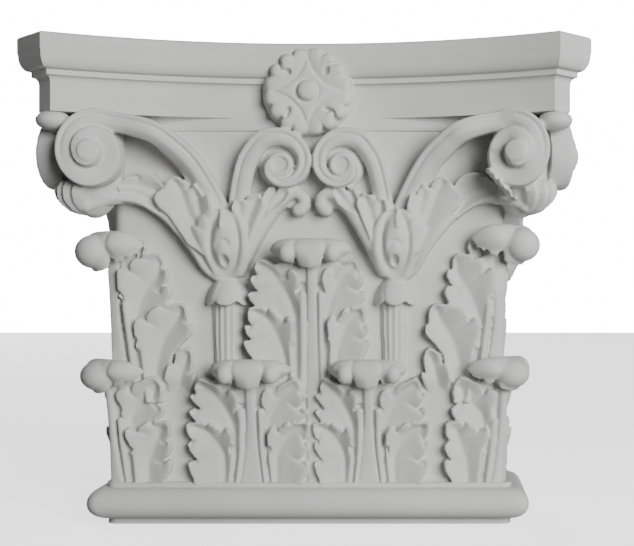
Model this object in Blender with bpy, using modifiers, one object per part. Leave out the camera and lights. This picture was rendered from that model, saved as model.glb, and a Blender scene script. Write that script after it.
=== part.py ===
# Corinthian pilaster capital, one solid plaster cast that stands against a wall on its shaft.
# X runs to the right of a person who looks at the front, the front faces -Y, and Z is up.
# The origin is the middle of the flat underside. Lengths are in metres.
import math

import bmesh
import bpy
import numpy as np

# Overall sizes
BELL_HALF_WIDTH = 0.144
BELL_DEPTH = 0.075
TOTAL_HEIGHT = 0.356

# Base ring: bed fillet, torus and top fillet, each with its reach beyond the bell
BED_HEIGHT = 0.0045
BED_REACH = 0.007
TORUS_TOP = 0.0272
TORUS_SEAT_REACH = 0.0085
FILLET_TOP = 0.0307
FILLET_REACH = 0.0075
BELL_FOOT = 0.035

# Bell: it swells a little on the way up, then flares to a plain lip
FLARE_HEIGHT = 0.060
LIP_HEIGHT = 0.010
BELL_SWELL = 0.003
LIP_REACH = 0.0075

# Abacus: concave faces between horns that are cut off at 45 degrees, and its members' heights
ABACUS_MIDDLE_REACH = 0.0164
HORN_REACH = 0.0614
HORN_CUT = 0.0249
FASCIA_INSET = 0.0123
FASCIA_HEIGHT = 0.020
BEAD_INSET = 0.0080
COVE_HEIGHT = 0.005
BEAD_HEIGHT = 0.004
OVOLO_HEIGHT = 0.012
TOP_BAND_HEIGHT = 0.013
TOP_EDGE_WEAR = 0.0015

# Leaves, which all rise from the top of the base ring
LEAF_FOOT = FILLET_TOP
LOWER_LEAF_TOP = 0.108
UPPER_LEAF_TOP = 0.198
CORNER_LEAF_TOP = 0.201
LOWER_LEAF_X = 0.045
LOWER_LEAF_HALF_WIDTH = 0.044
LOWER_CORNER_HALF_WIDTH = 0.043
UPPER_LEAF_HALF_WIDTH = 0.048
UPPER_CORNER_HALF_WIDTH = 0.059
LOWER_LEAN = 0.013
UPPER_LEAN = 0.017
RELIEF_FLOOR = 0.0018
RELIEF_EDGE = 0.0058
RELIEF_STEP = 0.0018
EDGE_ROUND = 0.0014
MIDRIB_HEIGHT = 0.0050
RIB_WIDTH = 0.14
CORNER_ROUND = 0.009
CARVING_DRIFT = 0.0035

# Curled tips of the leaves
LOWER_CURL_TOP = 0.1228
LOWER_CURL_EDGE = 0.1015
LOWER_CURL_HALF_WIDTH = 0.028
UPPER_CURL_TOP = 0.2118
UPPER_CURL_EDGE = 0.1900
UPPER_CURL_HALF_WIDTH = 0.029
CORNER_CURL_HALF_WIDTH = 0.035
CORNER_CURL_TOP = 0.2180
CORNER_CURL_EDGE = 0.1930
CURL_OUT = 0.018
CURL_THICKNESS = 0.0050
CURL_START_ANGLE = 165
CURL_EDGE_ANGLE = -20
CURL_SCALLOP_ANGLE = -48
CURL_END_SHARE = 0.45
CURL_ROOT_SHARE = 0.45
CURL_BEND_SHARE = 0.62

# Corner volutes and the stems that carry them: how far their middle is beyond the bell's corner, and
# how far their top runs up into the abacus
SCROLL_ROOT = 0.225
VOLUTE_OVERHANG = 0.0055
VOLUTE_BITE = 0.003
VOLUTE_REACH = 0.0415
VOLUTE_SLANT = 0.27
VOLUTE_SQUASH = 0.885
VOLUTE_RADIUS = 0.032
VOLUTE_PITCH = 0.014
VOLUTE_TURNS = 1.75
VOLUTE_THICKNESS = 0.012
VOLUTE_RISE = 0.0028
VOLUTE_EYE_RADIUS = 0.0068
VOLUTE_STEM_WIDTH = 0.0155
RIM_HEIGHT = 0.0028
SCROLL_LEAD_IN = -0.45
SCROLL_LEAD_STEPS = 26
SCROLL_TURN_STEPS = 40
SCROLL_CLEARANCE = 0.002

# Inner helices, and how far they stay below the abacus
HELIX_X = 0.0225
HELIX_CLEARANCE = 0.0086
HELIX_REACH = 0.024
HELIX_RADIUS = 0.0274
HELIX_PITCH = 0.0216
HELIX_TURNS = 0.86
HELIX_RISE = 0.001
HELIX_EYE_RADIUS = 0.0088
HELIX_STEM_WIDTH = 0.0150
HELIX_BAND_WIDTH = 0.0140
HELIX_TAIL_WIDTH = 0.0040

# Calyx, its leafy sprays and the fluted stem below it
CALYX_X = 0.062
CALYX_INNER_SPAN = 0.064
CALYX_FOOT = 0.1807
CALYX_TOP = 0.268
CALYX_REACH = 0.019
SPRAY_RISE = 0.10
HOOK_RADIUS = 0.007
ARM_RADIUS = 0.0055
STEM_X = 0.061
STEM_TOP = 0.166
STEM_RADIUS_FOOT = 0.009
STEM_RADIUS_TOP = 0.0105
STEM_FLUTES = 8
FLUTE_DEPTH = 0.0013
CAP_TOP = 0.1815
CAP_RADIUS = 0.0155
CAP_LOBES = 3
CAP_HANG = 0.0035
CAP_TAPER = 0.45

# Rosette on the middle of the abacus, and how far it stays below the top
ROSETTE_CLEARANCE = 0.0015
ROSETTE_RADIUS = 0.0325
ROSETTE_REACH = 0.020
ROSETTE_LOBES = 8
ROSETTE_SCALLOP = 0.0015
PETAL_DISH = 0.006
STAR_DEPTH = 0.0045
BUTTON_RADIUS = 0.0087
BUTTON_RISE = 0.007

# Mass behind the volutes, pad under each horn and tongue below, on the diagonal of the corner: how
# far out from the arris, how far below the abacus, and radii across and up
CORNER_MASS = {"out": 0.012, "drop": 0.030, "across": 0.022, "up": 0.045}
PAD = {"out": 0.036, "drop": 0.0065, "across": 0.0115, "up": 0.0068}
TONGUE = {"out": 0.018, "drop": 0.059, "across": 0.0150, "up": 0.016}

# Carving is sampled at this spacing, fused at this voxel and thinned to this many triangles
CARVING_STEP = 0.0020
FUSING_VOXEL = 0.0015
SOFTENING_ROUNDS = 1
CARVING_TRIANGLES = 6900
CRUMB_POINTS = 400
BURIED = 0.006
CORNER_STEPS = 3
SHARP_ANGLE = 35

PLASTER = (0.62, 0.62, 0.61, 1.0)
PLASTER_ROUGHNESS = 0.85

FRONT_Y = -(BELL_DEPTH + BED_REACH) / 2 + BED_REACH
WALL_Y = FRONT_Y + BELL_DEPTH
CORNER_X = BELL_HALF_WIDTH + BELL_SWELL / 2
HORN_FRONT_HALF_WIDTH = CORNER_X + HORN_REACH - HORN_CUT

# Levels, from the top down
OVOLO_TOP = TOTAL_HEIGHT - TOP_BAND_HEIGHT
BEAD_TOP = OVOLO_TOP - OVOLO_HEIGHT
BEAD_FOOT = BEAD_TOP - BEAD_HEIGHT
FASCIA_TOP = BEAD_FOOT - COVE_HEIGHT
LIP_TOP = FASCIA_TOP - FASCIA_HEIGHT
LIP_FOOT = LIP_TOP - LIP_HEIGHT
FLARE_FOOT = LIP_FOOT - FLARE_HEIGHT
ROSETTE_Z = TOTAL_HEIGHT - ROSETTE_CLEARANCE - ROSETTE_RADIUS

# Middles and tops of the scrolls
VOLUTE_TOP = LIP_TOP + VOLUTE_BITE
VOLUTE_X = CORNER_X + VOLUTE_OVERHANG
VOLUTE_Z = VOLUTE_TOP - VOLUTE_RADIUS
HELIX_TOP = LIP_TOP - HELIX_CLEARANCE
HELIX_Z = HELIX_TOP - HELIX_RADIUS

# Stems of the scrolls: x and height as shares of the way from the root to the scroll's middle and
# top, then reach
VOLUTE_STEM = (
    (0.0, 0.0, 0.014),
    (0.011, 0.188, 0.018),
    (0.191, 0.562, 0.028),
    (0.360, 0.762, 0.034),
    (0.539, 0.894, 0.038),
)
HELIX_STEM = (
    (0.0, 0.0, 0.012),
    (0.025, 0.190, 0.016),
    (0.101, 0.453, 0.020),
    (0.278, 0.753, 0.022),
)

# One acanthus group as a fan of leaflets, outermost first: angle in degrees, then length and radius
# of the tip as shares of the group's size
FAN = (
    (-32, 0.78, 0.25),
    (8, 0.72, 0.28),
    (44, 0.92, 0.32),
    (78, 0.72, 0.24),
    (128, 0.66, 0.20),
)
MAIN_ANGLE = FAN[2][0]
LEAFLET_ROOT = 0.42
PLATE_RADIUS = 0.56

# Groups of each leaf, lowest first. Hub across and size are shares of the leaf's half-width, hub up
# is a share of its height, and turn is in degrees. Foot is where the trough ends: across, up and
# how wide the plate still is there.
LOWER_GROUPS = (
    {"hub": (0.55, 0.285), "size": 0.52, "turn": -3, "foot": (0.56, -0.05, 0.29), "valley": 0.37},
    {"hub": (0.48, 0.690), "size": 0.48, "turn": 16, "foot": (0.30, -0.05, 0.12), "valley": 0.26},
)
UPPER_GROUPS = (
    {"hub": (0.60, 0.650), "size": 0.45, "turn": 15, "foot": (0.45, 0.40, 0.18), "valley": 0.40},
    {"hub": (0.50, 0.860), "size": 0.42, "turn": 19, "foot": (0.25, 0.30, 0.10), "valley": 0.25},
)
CORNER_GROUPS = (
    {"hub": (0.80, 0.390), "size": 0.40, "turn": 2, "foot": (0.62, 0.28, 0.12), "valley": 0.62},
    {"hub": (0.63, 0.630), "size": 0.42, "turn": 10, "foot": (0.42, 0.30, 0.14), "valley": 0.42},
    {"hub": (0.39, 0.855), "size": 0.35, "turn": 16, "foot": (0.26, 0.30, 0.08), "valley": 0.26},
)

# Calyx: middle lines of its two arms and the leaves that stand on them, each a root and the middles
# of its lobes, as (outwards from the calyx, height)
OUTER_ARM = ((0.014, 0.203), (0.026, 0.218), (0.040, 0.233), (0.060, 0.243), (0.080, 0.244), (0.098, 0.235))
INNER_ARM = ((-0.014, 0.203), (-0.019, 0.218), (-0.027, 0.232), (-0.040, 0.242), (-0.052, 0.243))
SPRAY_LEAVES = (
    ((0.030, 0.228), ((0.037, 0.252), (0.025, 0.248), (0.045, 0.245))),
    ((0.016, 0.222), ((0.015, 0.240),)),
    ((0.058, 0.244), ((0.064, 0.254), (0.071, 0.252), (0.076, 0.247), (0.055, 0.250))),
    ((-0.018, 0.222), ((-0.013, 0.236), (-0.020, 0.239))),
    ((-0.034, 0.237), ((-0.034, 0.244),)),
)
HOOK = (-0.0555, 0.2385)

# Cup of the calyx, the husk in front of it and the trough in the husk: two points and their radii
CUP = ((0.001, 0.189), (0.001, 0.212), 0.008, 0.022)
HUSK = ((0.001, 0.200), (0.001, 0.218), 0.013, 0.0165)
HUSK_TROUGH = ((0.000, 0.198), (0.000, 0.222), 0.0085, 0.0085)
TROUGH_HALF_WIDTH = 0.0022
TROUGH_DEPTH = 0.003


def clear_scene():
    for obj in list(bpy.data.objects):
        bpy.data.objects.remove(obj, do_unlink=True)


def plaster():
    material = bpy.data.materials.new("plaster")
    material.use_nodes = True
    shader = material.node_tree.nodes["Principled BSDF"]
    shader.inputs["Base Color"].default_value = PLASTER
    shader.inputs["Roughness"].default_value = PLASTER_ROUGHNESS
    shader.inputs["Metallic"].default_value = 0.0
    material.diffuse_color = PLASTER
    return material


def new_object(name, bm, collection):
    bmesh.ops.recalc_face_normals(bm, faces=bm.faces[:])
    mesh = bpy.data.meshes.new(name)
    bm.to_mesh(mesh)
    bm.free()
    obj = bpy.data.objects.new(name, mesh)
    collection.objects.link(obj)
    return obj


def smooth(low, high, value):
    t = np.clip((value - low) / (high - low), 0.0, 1.0)
    return t * t * (3 - 2 * t)


def bell_reach(z):
    """How far the bell's surface stands out at a height, beyond its foot."""
    swell = BELL_SWELL * np.clip((z - BELL_FOOT) / (FLARE_FOOT - BELL_FOOT), 0.0, 1.0)
    flare = np.clip((z - FLARE_FOOT) / (LIP_FOOT - FLARE_FOOT), 0.0, 1.0)
    return swell + (LIP_REACH - BELL_SWELL) * flare**2


def loft(name, rings, collection):
    """A closed solid through rings of equally many points, with flat ends."""
    bm = bmesh.new()
    layers = [[bm.verts.new(point) for point in ring] for ring in rings]
    for lower, upper in zip(layers, layers[1:]):
        for i in range(len(lower)):
            j = (i + 1) % len(lower)
            bm.faces.new((lower[i], lower[j], upper[j], upper[i]))
    bm.faces.new(layers[0])
    bm.faces.new(layers[-1])
    return new_object(name, bm, collection)


def body_profile():
    """(reach, height) of the base ring and the bell, from the underside to the lip."""
    radius = (TORUS_TOP - BED_HEIGHT) / 2
    middle = BED_HEIGHT + radius
    points = [(BED_REACH, 0.0), (BED_REACH, BED_HEIGHT)]
    for i in range(9):
        angle = math.pi * (i / 8 - 0.5)
        points.append((TORUS_SEAT_REACH + radius * math.cos(angle), middle + radius * math.sin(angle)))
    points += [(FILLET_REACH, TORUS_TOP), (FILLET_REACH, FILLET_TOP)]
    for i in range(4):
        share = i / 3
        reach = FILLET_REACH * 0.4 * (1 - share) ** 2
        points.append((reach, FILLET_TOP + share * (BELL_FOOT - FILLET_TOP)))
    for i in range(1, 10):
        z = BELL_FOOT + (LIP_FOOT - BELL_FOOT) * (i / 9) ** 0.6
        points.append((float(bell_reach(z)), z))
    points.append((LIP_REACH, LIP_TOP + BURIED))
    return points


def body(collection):
    """Base ring and bell: one rectangle with two rounded corners for each point of the profile."""
    rings = []
    for reach, z in body_profile():
        right = []
        for i in range(CORNER_STEPS + 1):
            angle = math.pi / 2 * (1 - i / CORNER_STEPS)
            x = BELL_HALF_WIDTH + reach - CORNER_ROUND * (1 - math.cos(angle))
            y = FRONT_Y - reach + CORNER_ROUND * (1 - math.sin(angle))
            right.append((x, y, z))
        right.append((BELL_HALF_WIDTH + reach, WALL_Y + BURIED, z))
        left = [(-x, y, z) for x, y, z in reversed(right)]
        rings.append(left + right)
    return loft("body", rings, collection)


def abacus_ring(inset, z):
    """Plan of the abacus at a height, drawn in by an inset from its top edge."""
    sagitta = HORN_REACH - ABACUS_MIDDLE_REACH
    radius = (HORN_FRONT_HALF_WIDTH**2 + sagitta**2) / (2 * sagitta)
    centre = ABACUS_MIDDLE_REACH + radius
    arc = radius + inset
    # The cut horn is the line x + reach = cut, and it meets the arc at the half-width
    cut = HORN_FRONT_HALF_WIDTH + HORN_REACH - inset * math.sqrt(2)
    gap = centre - cut
    half = (-gap + math.sqrt(2 * arc**2 - gap**2)) / 2

    def reach_at(x):
        return centre - math.sqrt(arc**2 - x * x)

    front = [half * math.sin(math.pi / 2 * i / 8) for i in range(9)]
    right = [(x, FRONT_Y - reach_at(x)) for x in front]
    deep = BELL_DEPTH + BURIED - CORNER_X
    for i in range(6):
        along = half + (-deep - half) * i / 5
        right.append((CORNER_X + reach_at(along), FRONT_Y - (along - CORNER_X)))
    left = [(-x, y) for x, y in reversed(right[1:])]
    return [(x, y, z) for x, y in left + right]


def abacus(collection):
    steps = [(FASCIA_INSET, LIP_TOP), (FASCIA_INSET, FASCIA_TOP)]
    for i in range(1, 4):
        angle = math.pi / 2 * i / 3
        inset = FASCIA_INSET - (FASCIA_INSET - BEAD_INSET) * (1 - math.cos(angle))
        steps.append((inset, FASCIA_TOP + (BEAD_FOOT - FASCIA_TOP) * math.sin(angle)))
    steps.append((BEAD_INSET, BEAD_TOP))
    for i in range(1, 5):
        angle = math.pi / 2 * i / 4
        inset = (BEAD_INSET - TOP_EDGE_WEAR) * (1 - math.sin(angle)) + TOP_EDGE_WEAR / 3
        steps.append((inset, BEAD_TOP + (OVOLO_TOP - BEAD_TOP) * (1 - math.cos(angle))))
    steps.append((0.0, OVOLO_TOP + TOP_EDGE_WEAR))
    steps.append((0.0, TOTAL_HEIGHT - TOP_EDGE_WEAR))
    steps.append((TOP_EDGE_WEAR, TOTAL_HEIGHT))
    return loft("abacus", [abacus_ring(inset, z) for inset, z in steps], collection)


def slab(name, across, along, shape, collection):
    """A closed slab from a grid. shape(u, v, front) gives each point, u and v from 0 to 1, and
    front is 1 on the carved face and 0 on the buried one."""
    bm = bmesh.new()
    bmesh.ops.create_grid(bm, x_segments=across, y_segments=along, size=0.5)
    extruded = bmesh.ops.extrude_face_region(bm, geom=bm.faces[:])
    raised = [item for item in extruded["geom"] if isinstance(item, bmesh.types.BMVert)]
    bmesh.ops.translate(bm, verts=raised, vec=(0, 0, 1))
    obj = new_object(name, bm, collection)
    points = np.empty(len(obj.data.vertices) * 3)
    obj.data.vertices.foreach_get("co", points)
    points = points.reshape(-1, 3)
    x, reach, z = shape(points[:, 0] + 0.5, points[:, 1] + 0.5, points[:, 2])
    placed = np.stack(np.broadcast_arrays(x, FRONT_Y - reach, z), axis=1)
    obj.data.vertices.foreach_set("co", placed.reshape(-1))
    return obj


def capsule(x, z, start, end, start_radius, end_radius):
    """Distance to a tapered capsule, negative inside."""
    dx = end[0] - start[0]
    dz = end[1] - start[1]
    t = np.clip(((x - start[0]) * dx + (z - start[1]) * dz) / (dx * dx + dz * dz), 0.0, 1.0)
    radius = start_radius + (end_radius - start_radius) * t
    return np.hypot(x - start[0] - t * dx, z - start[1] - t * dz) - radius


def along_path(points, count, beyond=None):
    """Points on a smooth curve through a few given ones (Catmull-Rom), aimed at a point beyond."""
    points = np.array(points, float)
    if beyond is None:
        beyond = 2 * points[-1] - points[-2]
    padded = np.vstack([2 * points[0] - points[1], points, beyond])
    spans = np.linspace(0, len(points) - 1, count)
    index = np.minimum(spans.astype(int), len(points) - 2)
    t = (spans - index)[:, None]
    a, b, c, d = (padded[index + i] for i in range(4))
    return 0.5 * (2 * b + (c - a) * t + (2 * a - 5 * b + 4 * c - d) * t**2 + (3 * b - a - 3 * c + d) * t**3)


def soft_union(distances, softness):
    """Union of distances with rounded creases."""
    stack = np.stack(distances)
    nearest = stack.min(axis=0)
    return nearest - softness * np.log(np.exp((nearest - stack) / softness).sum(axis=0))


def group_relief(a, z, group, half_width, height):
    """(distance to the outline, relief) of one lobed group: a plate with a raised, lobed edge
    that falls to a trough, which runs from the main lobe through the hub to the leaf's foot."""
    size = group["size"] * half_width
    hub = (group["hub"][0] * half_width, LEAF_FOOT + group["hub"][1] * height)
    foot = (group["foot"][0] * half_width, LEAF_FOOT + group["foot"][1] * height)
    sink = (group["valley"] * half_width, foot[1])
    foot_radius = group["foot"][2] * half_width
    middle = (hub[0] + 0.10 * size, hub[1] + 0.08 * size)
    plates = [capsule(a, z, middle, foot, PLATE_RADIUS * size, foot_radius)]
    for angle, length, radius in FAN:
        aim = math.radians(angle + group["turn"])
        tip = (hub[0] + length * size * math.cos(aim), hub[1] + length * size * math.sin(aim))
        plates.append(capsule(a, z, hub, tip, LEAFLET_ROOT * size, radius * size))
    outline = np.minimum.reduce(plates)
    inside = np.maximum(-soft_union(plates, 0.07 * size), 0.0)
    aim = math.radians(MAIN_ANGLE + group["turn"])
    crest = (hub[0] + 0.75 * size * math.cos(aim), hub[1] + 0.75 * size * math.sin(aim))
    bend = (0.30 * hub[0] + 0.70 * sink[0], 0.55 * hub[1] + 0.45 * sink[1])
    valley = np.minimum(capsule(a, z, crest, hub, 0.0, 0.0), capsule(a, z, hub, bend, 0.0, 0.0))
    valley = np.minimum(valley, capsule(a, z, bend, sink, 0.0, 0.0))
    share = valley / (valley + inside + 1e-6)
    relief = RELIEF_FLOOR + (RELIEF_EDGE - RELIEF_FLOOR) * share**1.1
    rounding = EDGE_ROUND * (1 - np.clip(-outline / EDGE_ROUND, 0.0, 1.0)) ** 2
    eye_foot = (hub[0] - 0.56 * size, hub[1] - 0.16 * size)
    eye_top = (hub[0] - 0.50 * size, hub[1] + 0.20 * size)
    eye = capsule(a, z, eye_foot, eye_top, 0.050 * size, 0.020 * size)
    return outline, np.where(eye < 0, 0.3 * RELIEF_FLOOR, relief - rounding)


def leaf_relief(a, z, half_width, top, groups, lean):
    """Height of a leaf's carved face above the bell, a from the midrib and z up. Lower groups
    stand in front of the ones above them, and the leaf leans out towards its top."""
    height = top - LEAF_FOOT
    a = np.abs(a)
    leaning = lean * smooth(LEAF_FOOT + 0.2 * height, top, z) * (1 - 0.3 * (a / half_width) ** 2)
    relief = np.full(np.shape(a), -BURIED / 2)
    share = np.clip((z - LEAF_FOOT) / height, 0.0, 1.0)
    band = half_width * (0.17 - 0.13 * share)
    blank = capsule(a, z, (0.0, LEAF_FOOT), (0.0, top), 0.25 * half_width, 0.36 * half_width)
    relief = np.where(blank < 0, leaning + RELIEF_FLOOR * 0.6, relief)
    count = len(groups)
    for i in reversed(range(count)):
        outline, carved = group_relief(a, z, groups[i], half_width, height)
        step = RELIEF_STEP * (count - 1 - i)
        relief = np.where(outline < 0, leaning + step + carved, relief)
    rib = 1 - ((a - band) / (RIB_WIDTH * half_width) * 2 - 1) ** 2
    rib_face = RELIEF_FLOOR + (RELIEF_EDGE - RELIEF_FLOOR) * np.sqrt(np.maximum(rib, 0.0))
    relief = np.where((rib > 0) & (share < 0.98), np.maximum(relief, leaning + rib_face), relief)
    return np.where((a < band) & (z < top), leaning + MIDRIB_HEIGHT, relief)


def front_leaf(name, middle_x, half_width, top, groups, lean, collection):
    foot = LEAF_FOOT - 0.001
    reach = half_width * 1.08

    def shape(u, v, front):
        a = (2 * u - 1) * reach
        z = foot + v * (top + 0.012 - foot)
        height = np.where(front > 0.5, leaf_relief(a, z, half_width, top, groups, lean), -BURIED)
        return middle_x + a, bell_reach(z) + height, z

    across = int(2 * reach / CARVING_STEP)
    along = int((top + 0.012 - foot) / CARVING_STEP)
    return slab(name, across, along, shape, collection)


def round_corner(a, z, height):
    """A point at a distance along the bell from its right arris, a above 0 on the front, raised
    from a surface that is rounded at the arris."""
    side = BELL_HALF_WIDTH + bell_reach(z) - CORNER_ROUND
    quarter = math.pi / 4 * CORNER_ROUND
    turn = np.clip(a / quarter, -1.0, 1.0) * math.pi / 4 + math.pi / 4
    beyond = np.sign(a) * np.maximum(np.abs(a) - quarter, 0.0)
    normal_x = np.cos(turn)
    normal_reach = np.sin(turn)
    x = side + (CORNER_ROUND + height) * normal_x - np.maximum(beyond, 0.0)
    reach = bell_reach(z) - CORNER_ROUND + (CORNER_ROUND + height) * normal_reach + np.minimum(beyond, 0.0)
    return x, reach


def corner_leaf(name, half_width, top, groups, lean, collection):
    foot = LEAF_FOOT - 0.001
    reach = half_width * 1.12

    def shape(u, v, front):
        a = (2 * u - 1) * reach
        z = foot + v * (top + 0.012 - foot)
        height = np.where(front > 0.5, leaf_relief(a, z, half_width, top, groups, lean), -BURIED)
        x, out = round_corner(a, z, height)
        return x, out, z

    across = int(2 * reach / CARVING_STEP)
    along = int((top + 0.012 - foot) / CARVING_STEP)
    return slab(name, across, along, shape, collection)


def curl(name, root, diagonal, half_width, top, edge, out, collection):
    """The curled tip of a leaf: a sheet that rises from the leaf, bends over and hangs with a
    free edge of three scallops, lowest in the middle. root is the point it grows from and
    diagonal turns it 45 degrees."""
    middle = (top + edge) / 2
    rise = (top - edge) / 2
    aim = math.pi / 4 if diagonal else 0.0
    side = (math.cos(aim), -math.sin(aim))
    outward = (math.sin(aim), math.cos(aim))

    def shape(u, v, front):
        a = 2 * u - 1
        wide = np.maximum(1 - np.abs(a) ** 2.6, 0.0) ** 0.6
        scallop = np.abs(np.cos(1.5 * math.pi * a)) * 0.35 + 0.65 * wide
        end = CURL_EDGE_ANGLE + CURL_SCALLOP_ANGLE * scallop
        angle = np.radians(CURL_START_ANGLE + (end - CURL_START_ANGLE) * v)
        thick = np.where(front > 0.5, 0.0, CURL_THICKNESS)
        share = CURL_END_SHARE + (1 - CURL_END_SHARE) * wide
        deep = np.maximum(out * share - thick, CURL_THICKNESS / 5)
        high = np.maximum(rise * share - thick, CURL_THICKNESS / 5)
        forward = out * CURL_ROOT_SHARE * share + deep * CURL_BEND_SHARE * np.cos(angle)
        z = middle + high * np.sin(angle)
        shift = a * half_width
        x = root[0] + shift * side[0] + forward * outward[0]
        reach = root[1] + shift * side[1] + forward * outward[1]
        return x, reach, z

    return slab(name, 26, 18, shape, collection)


def rim_profile(across, inner_rim):
    """Cross-section of a volute's band, from its outer edge at 0 to its inner edge at 1: a rounded
    rim along each edge and a flat channel between them."""
    outer = np.sqrt(np.maximum(1 - ((across - 0.15) / 0.15) ** 2, 0.0))
    inner = inner_rim * np.sqrt(np.maximum(1 - ((across - 0.88) / 0.12) ** 2, 0.0))
    return RIM_HEIGHT * np.maximum(outer, inner)


def scroll_path(stem, turning, centre, slant, squash, radius, pitch, turns, rise):
    """Outer edge of a stem that runs into a spiral about a centre at (x, z, reach), which turns
    away from the stem (1) or towards it (-1): points, band widths, inner rim and where it starts."""
    theta = np.linspace(SCROLL_LEAD_IN, 2 * math.pi * turns, int(turns * SCROLL_TURN_STEPS))
    r = radius - pitch * theta / (2 * math.pi)
    across = turning * squash * r * np.sin(theta)
    level = centre[2] + slant * across + rise * theta / (2 * math.pi)
    spiral = np.stack([centre[0] + across, centre[1] + r * np.cos(theta), level], axis=1)
    lead = along_path(stem + [spiral[0]], SCROLL_LEAD_STEPS, beyond=spiral[6])[:-1]
    points = np.vstack([lead, spiral])
    width = np.concatenate([np.full(len(lead), pitch), np.minimum(pitch, r - SCROLL_CLEARANCE)])
    inner_rim = np.concatenate([np.ones(len(lead)), np.exp(-np.maximum(theta, 0.0))])
    return points, width, inner_rim, len(lead)


def scroll(name, path, wide, buried_lead, thickness, collection):
    """A band swept along its outer edge, solid to the bell along the stem and a slab in the
    spiral."""
    points, width, inner_rim, lead = path
    width = width.copy()
    width[:lead] = np.linspace(wide, width[lead], lead)
    step = np.gradient(points[:, :2], axis=0)
    step /= np.linalg.norm(step, axis=1)[:, None]
    inward = np.stack([step[:, 1], -step[:, 0]], axis=1)
    count = len(points)

    def shape(u, v, front):
        i = np.rint(v * (count - 1)).astype(int)
        x = points[i, 0] + inward[i, 0] * width[i] * u
        z = points[i, 1] + inward[i, 1] * width[i] * u
        face = points[i, 2] + rim_profile(u, inner_rim[i])
        back = np.where(i < lead, buried_lead(points[i, 2], i / lead), points[i, 2] - thickness)
        return x, np.where(front > 0.5, face, back), z

    return slab(name, 10, count - 1, shape, collection)


def ball(name, centre, radii, collection, sides=20, rings=12):
    """An ellipsoid at (x, reach, z)."""
    bm = bmesh.new()
    bmesh.ops.create_uvsphere(bm, u_segments=sides, v_segments=rings, radius=1.0)
    bmesh.ops.scale(bm, verts=bm.verts[:], vec=radii)
    bmesh.ops.translate(bm, verts=bm.verts[:], vec=(centre[0], FRONT_Y - centre[1], centre[2]))
    return new_object(name, bm, collection)


def stem_points(shares, middle_x, top):
    """Points of a scroll's stem, from its root in the calyx towards the scroll."""
    return [(CALYX_X + across * (middle_x - CALYX_X), SCROLL_ROOT + up * (top - SCROLL_ROOT), reach)
            for across, up, reach in shares]


def corner_volute(collection):
    stem = stem_points(VOLUTE_STEM, VOLUTE_X, VOLUTE_TOP)
    path = scroll_path(stem, 1, (VOLUTE_X, VOLUTE_Z, VOLUTE_REACH), VOLUTE_SLANT, VOLUTE_SQUASH,
                       VOLUTE_RADIUS, VOLUTE_PITCH, VOLUTE_TURNS, VOLUTE_RISE)
    band = scroll("volute", path, VOLUTE_STEM_WIDTH,
                  lambda reach, share: np.where(share < 0.8, -BURIED, reach - VOLUTE_THICKNESS),
                  VOLUTE_THICKNESS, collection)
    eye = ball("volute_eye", (VOLUTE_X, VOLUTE_REACH + 0.001, VOLUTE_Z),
               (VOLUTE_EYE_RADIUS, 0.0075, VOLUTE_EYE_RADIUS), collection)
    return [band, eye]


def helix(collection):
    stem = stem_points(HELIX_STEM, HELIX_X, HELIX_TOP)
    points, width, inner_rim, lead = scroll_path(stem, -1, (HELIX_X, HELIX_Z, HELIX_REACH), 0.0, 1.0,
                                                 HELIX_RADIUS, HELIX_PITCH, HELIX_TURNS, HELIX_RISE)
    width[lead:] = np.linspace(HELIX_BAND_WIDTH, HELIX_TAIL_WIDTH, len(width) - lead)
    band = scroll("helix", (points, -width, inner_rim, lead), -HELIX_STEM_WIDTH,
                  lambda reach, share: np.full(np.shape(reach), -BURIED), HELIX_REACH + BURIED, collection)
    eye = ball("helix_eye", (HELIX_X, HELIX_REACH - RIM_HEIGHT, HELIX_Z),
               (HELIX_EYE_RADIUS, 0.006, HELIX_EYE_RADIUS), collection)
    filling = 0.62 * HELIX_RADIUS
    back = ball("helix_back", (HELIX_X, HELIX_REACH / 4, HELIX_Z),
                (filling, HELIX_REACH / 2, filling), collection)
    return [band, eye, back]


def spray_height(x, z):
    """Relief of the calyx: a wide cup, an arched leafy spray that runs out to the corner, a short
    hooked one towards the middle, and an oval husk in front."""
    out = x - CALYX_X
    face = CALYX_REACH * (0.30 + 0.70 * smooth(CALYX_FOOT, CALYX_FOOT + 0.030, z)) + SPRAY_RISE * np.abs(out)
    height = np.full(np.shape(x), -BURIED / 2)

    def lay(distance, lift, rounding):
        nonlocal height
        dome = face + lift - rounding * (1 - np.clip(-distance / rounding, 0.0, 1.0)) ** 2
        height = np.where(distance < 0, np.maximum(height, dome), height)

    lay(capsule(out, z, *CUP), 0.0, 0.005)
    for path, thick in ((OUTER_ARM, ARM_RADIUS), (INNER_ARM, ARM_RADIUS * 0.8)):
        arm = along_path(path, 14)
        distances = [capsule(out, z, arm[i], arm[i + 1], thick, thick) for i in range(len(arm) - 1)]
        lay(np.minimum.reduce(distances), 0.0, 0.004)
    for root, tips in SPRAY_LEAVES:
        blades = [capsule(out, z, root, tip, 0.008, 0.0055) for tip in tips]
        lay(np.minimum.reduce(blades), 0.0015, 0.003)
    lay(np.hypot(out - HOOK[0], z - HOOK[1]) - HOOK_RADIUS, 0.002, HOOK_RADIUS * 0.8)
    lay(capsule(out, z, *HUSK), 0.0045, 0.004)
    trough = np.abs(capsule(out, z, *HUSK_TROUGH)) < TROUGH_HALF_WIDTH
    return np.where(trough, height - TROUGH_DEPTH, height)


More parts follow.
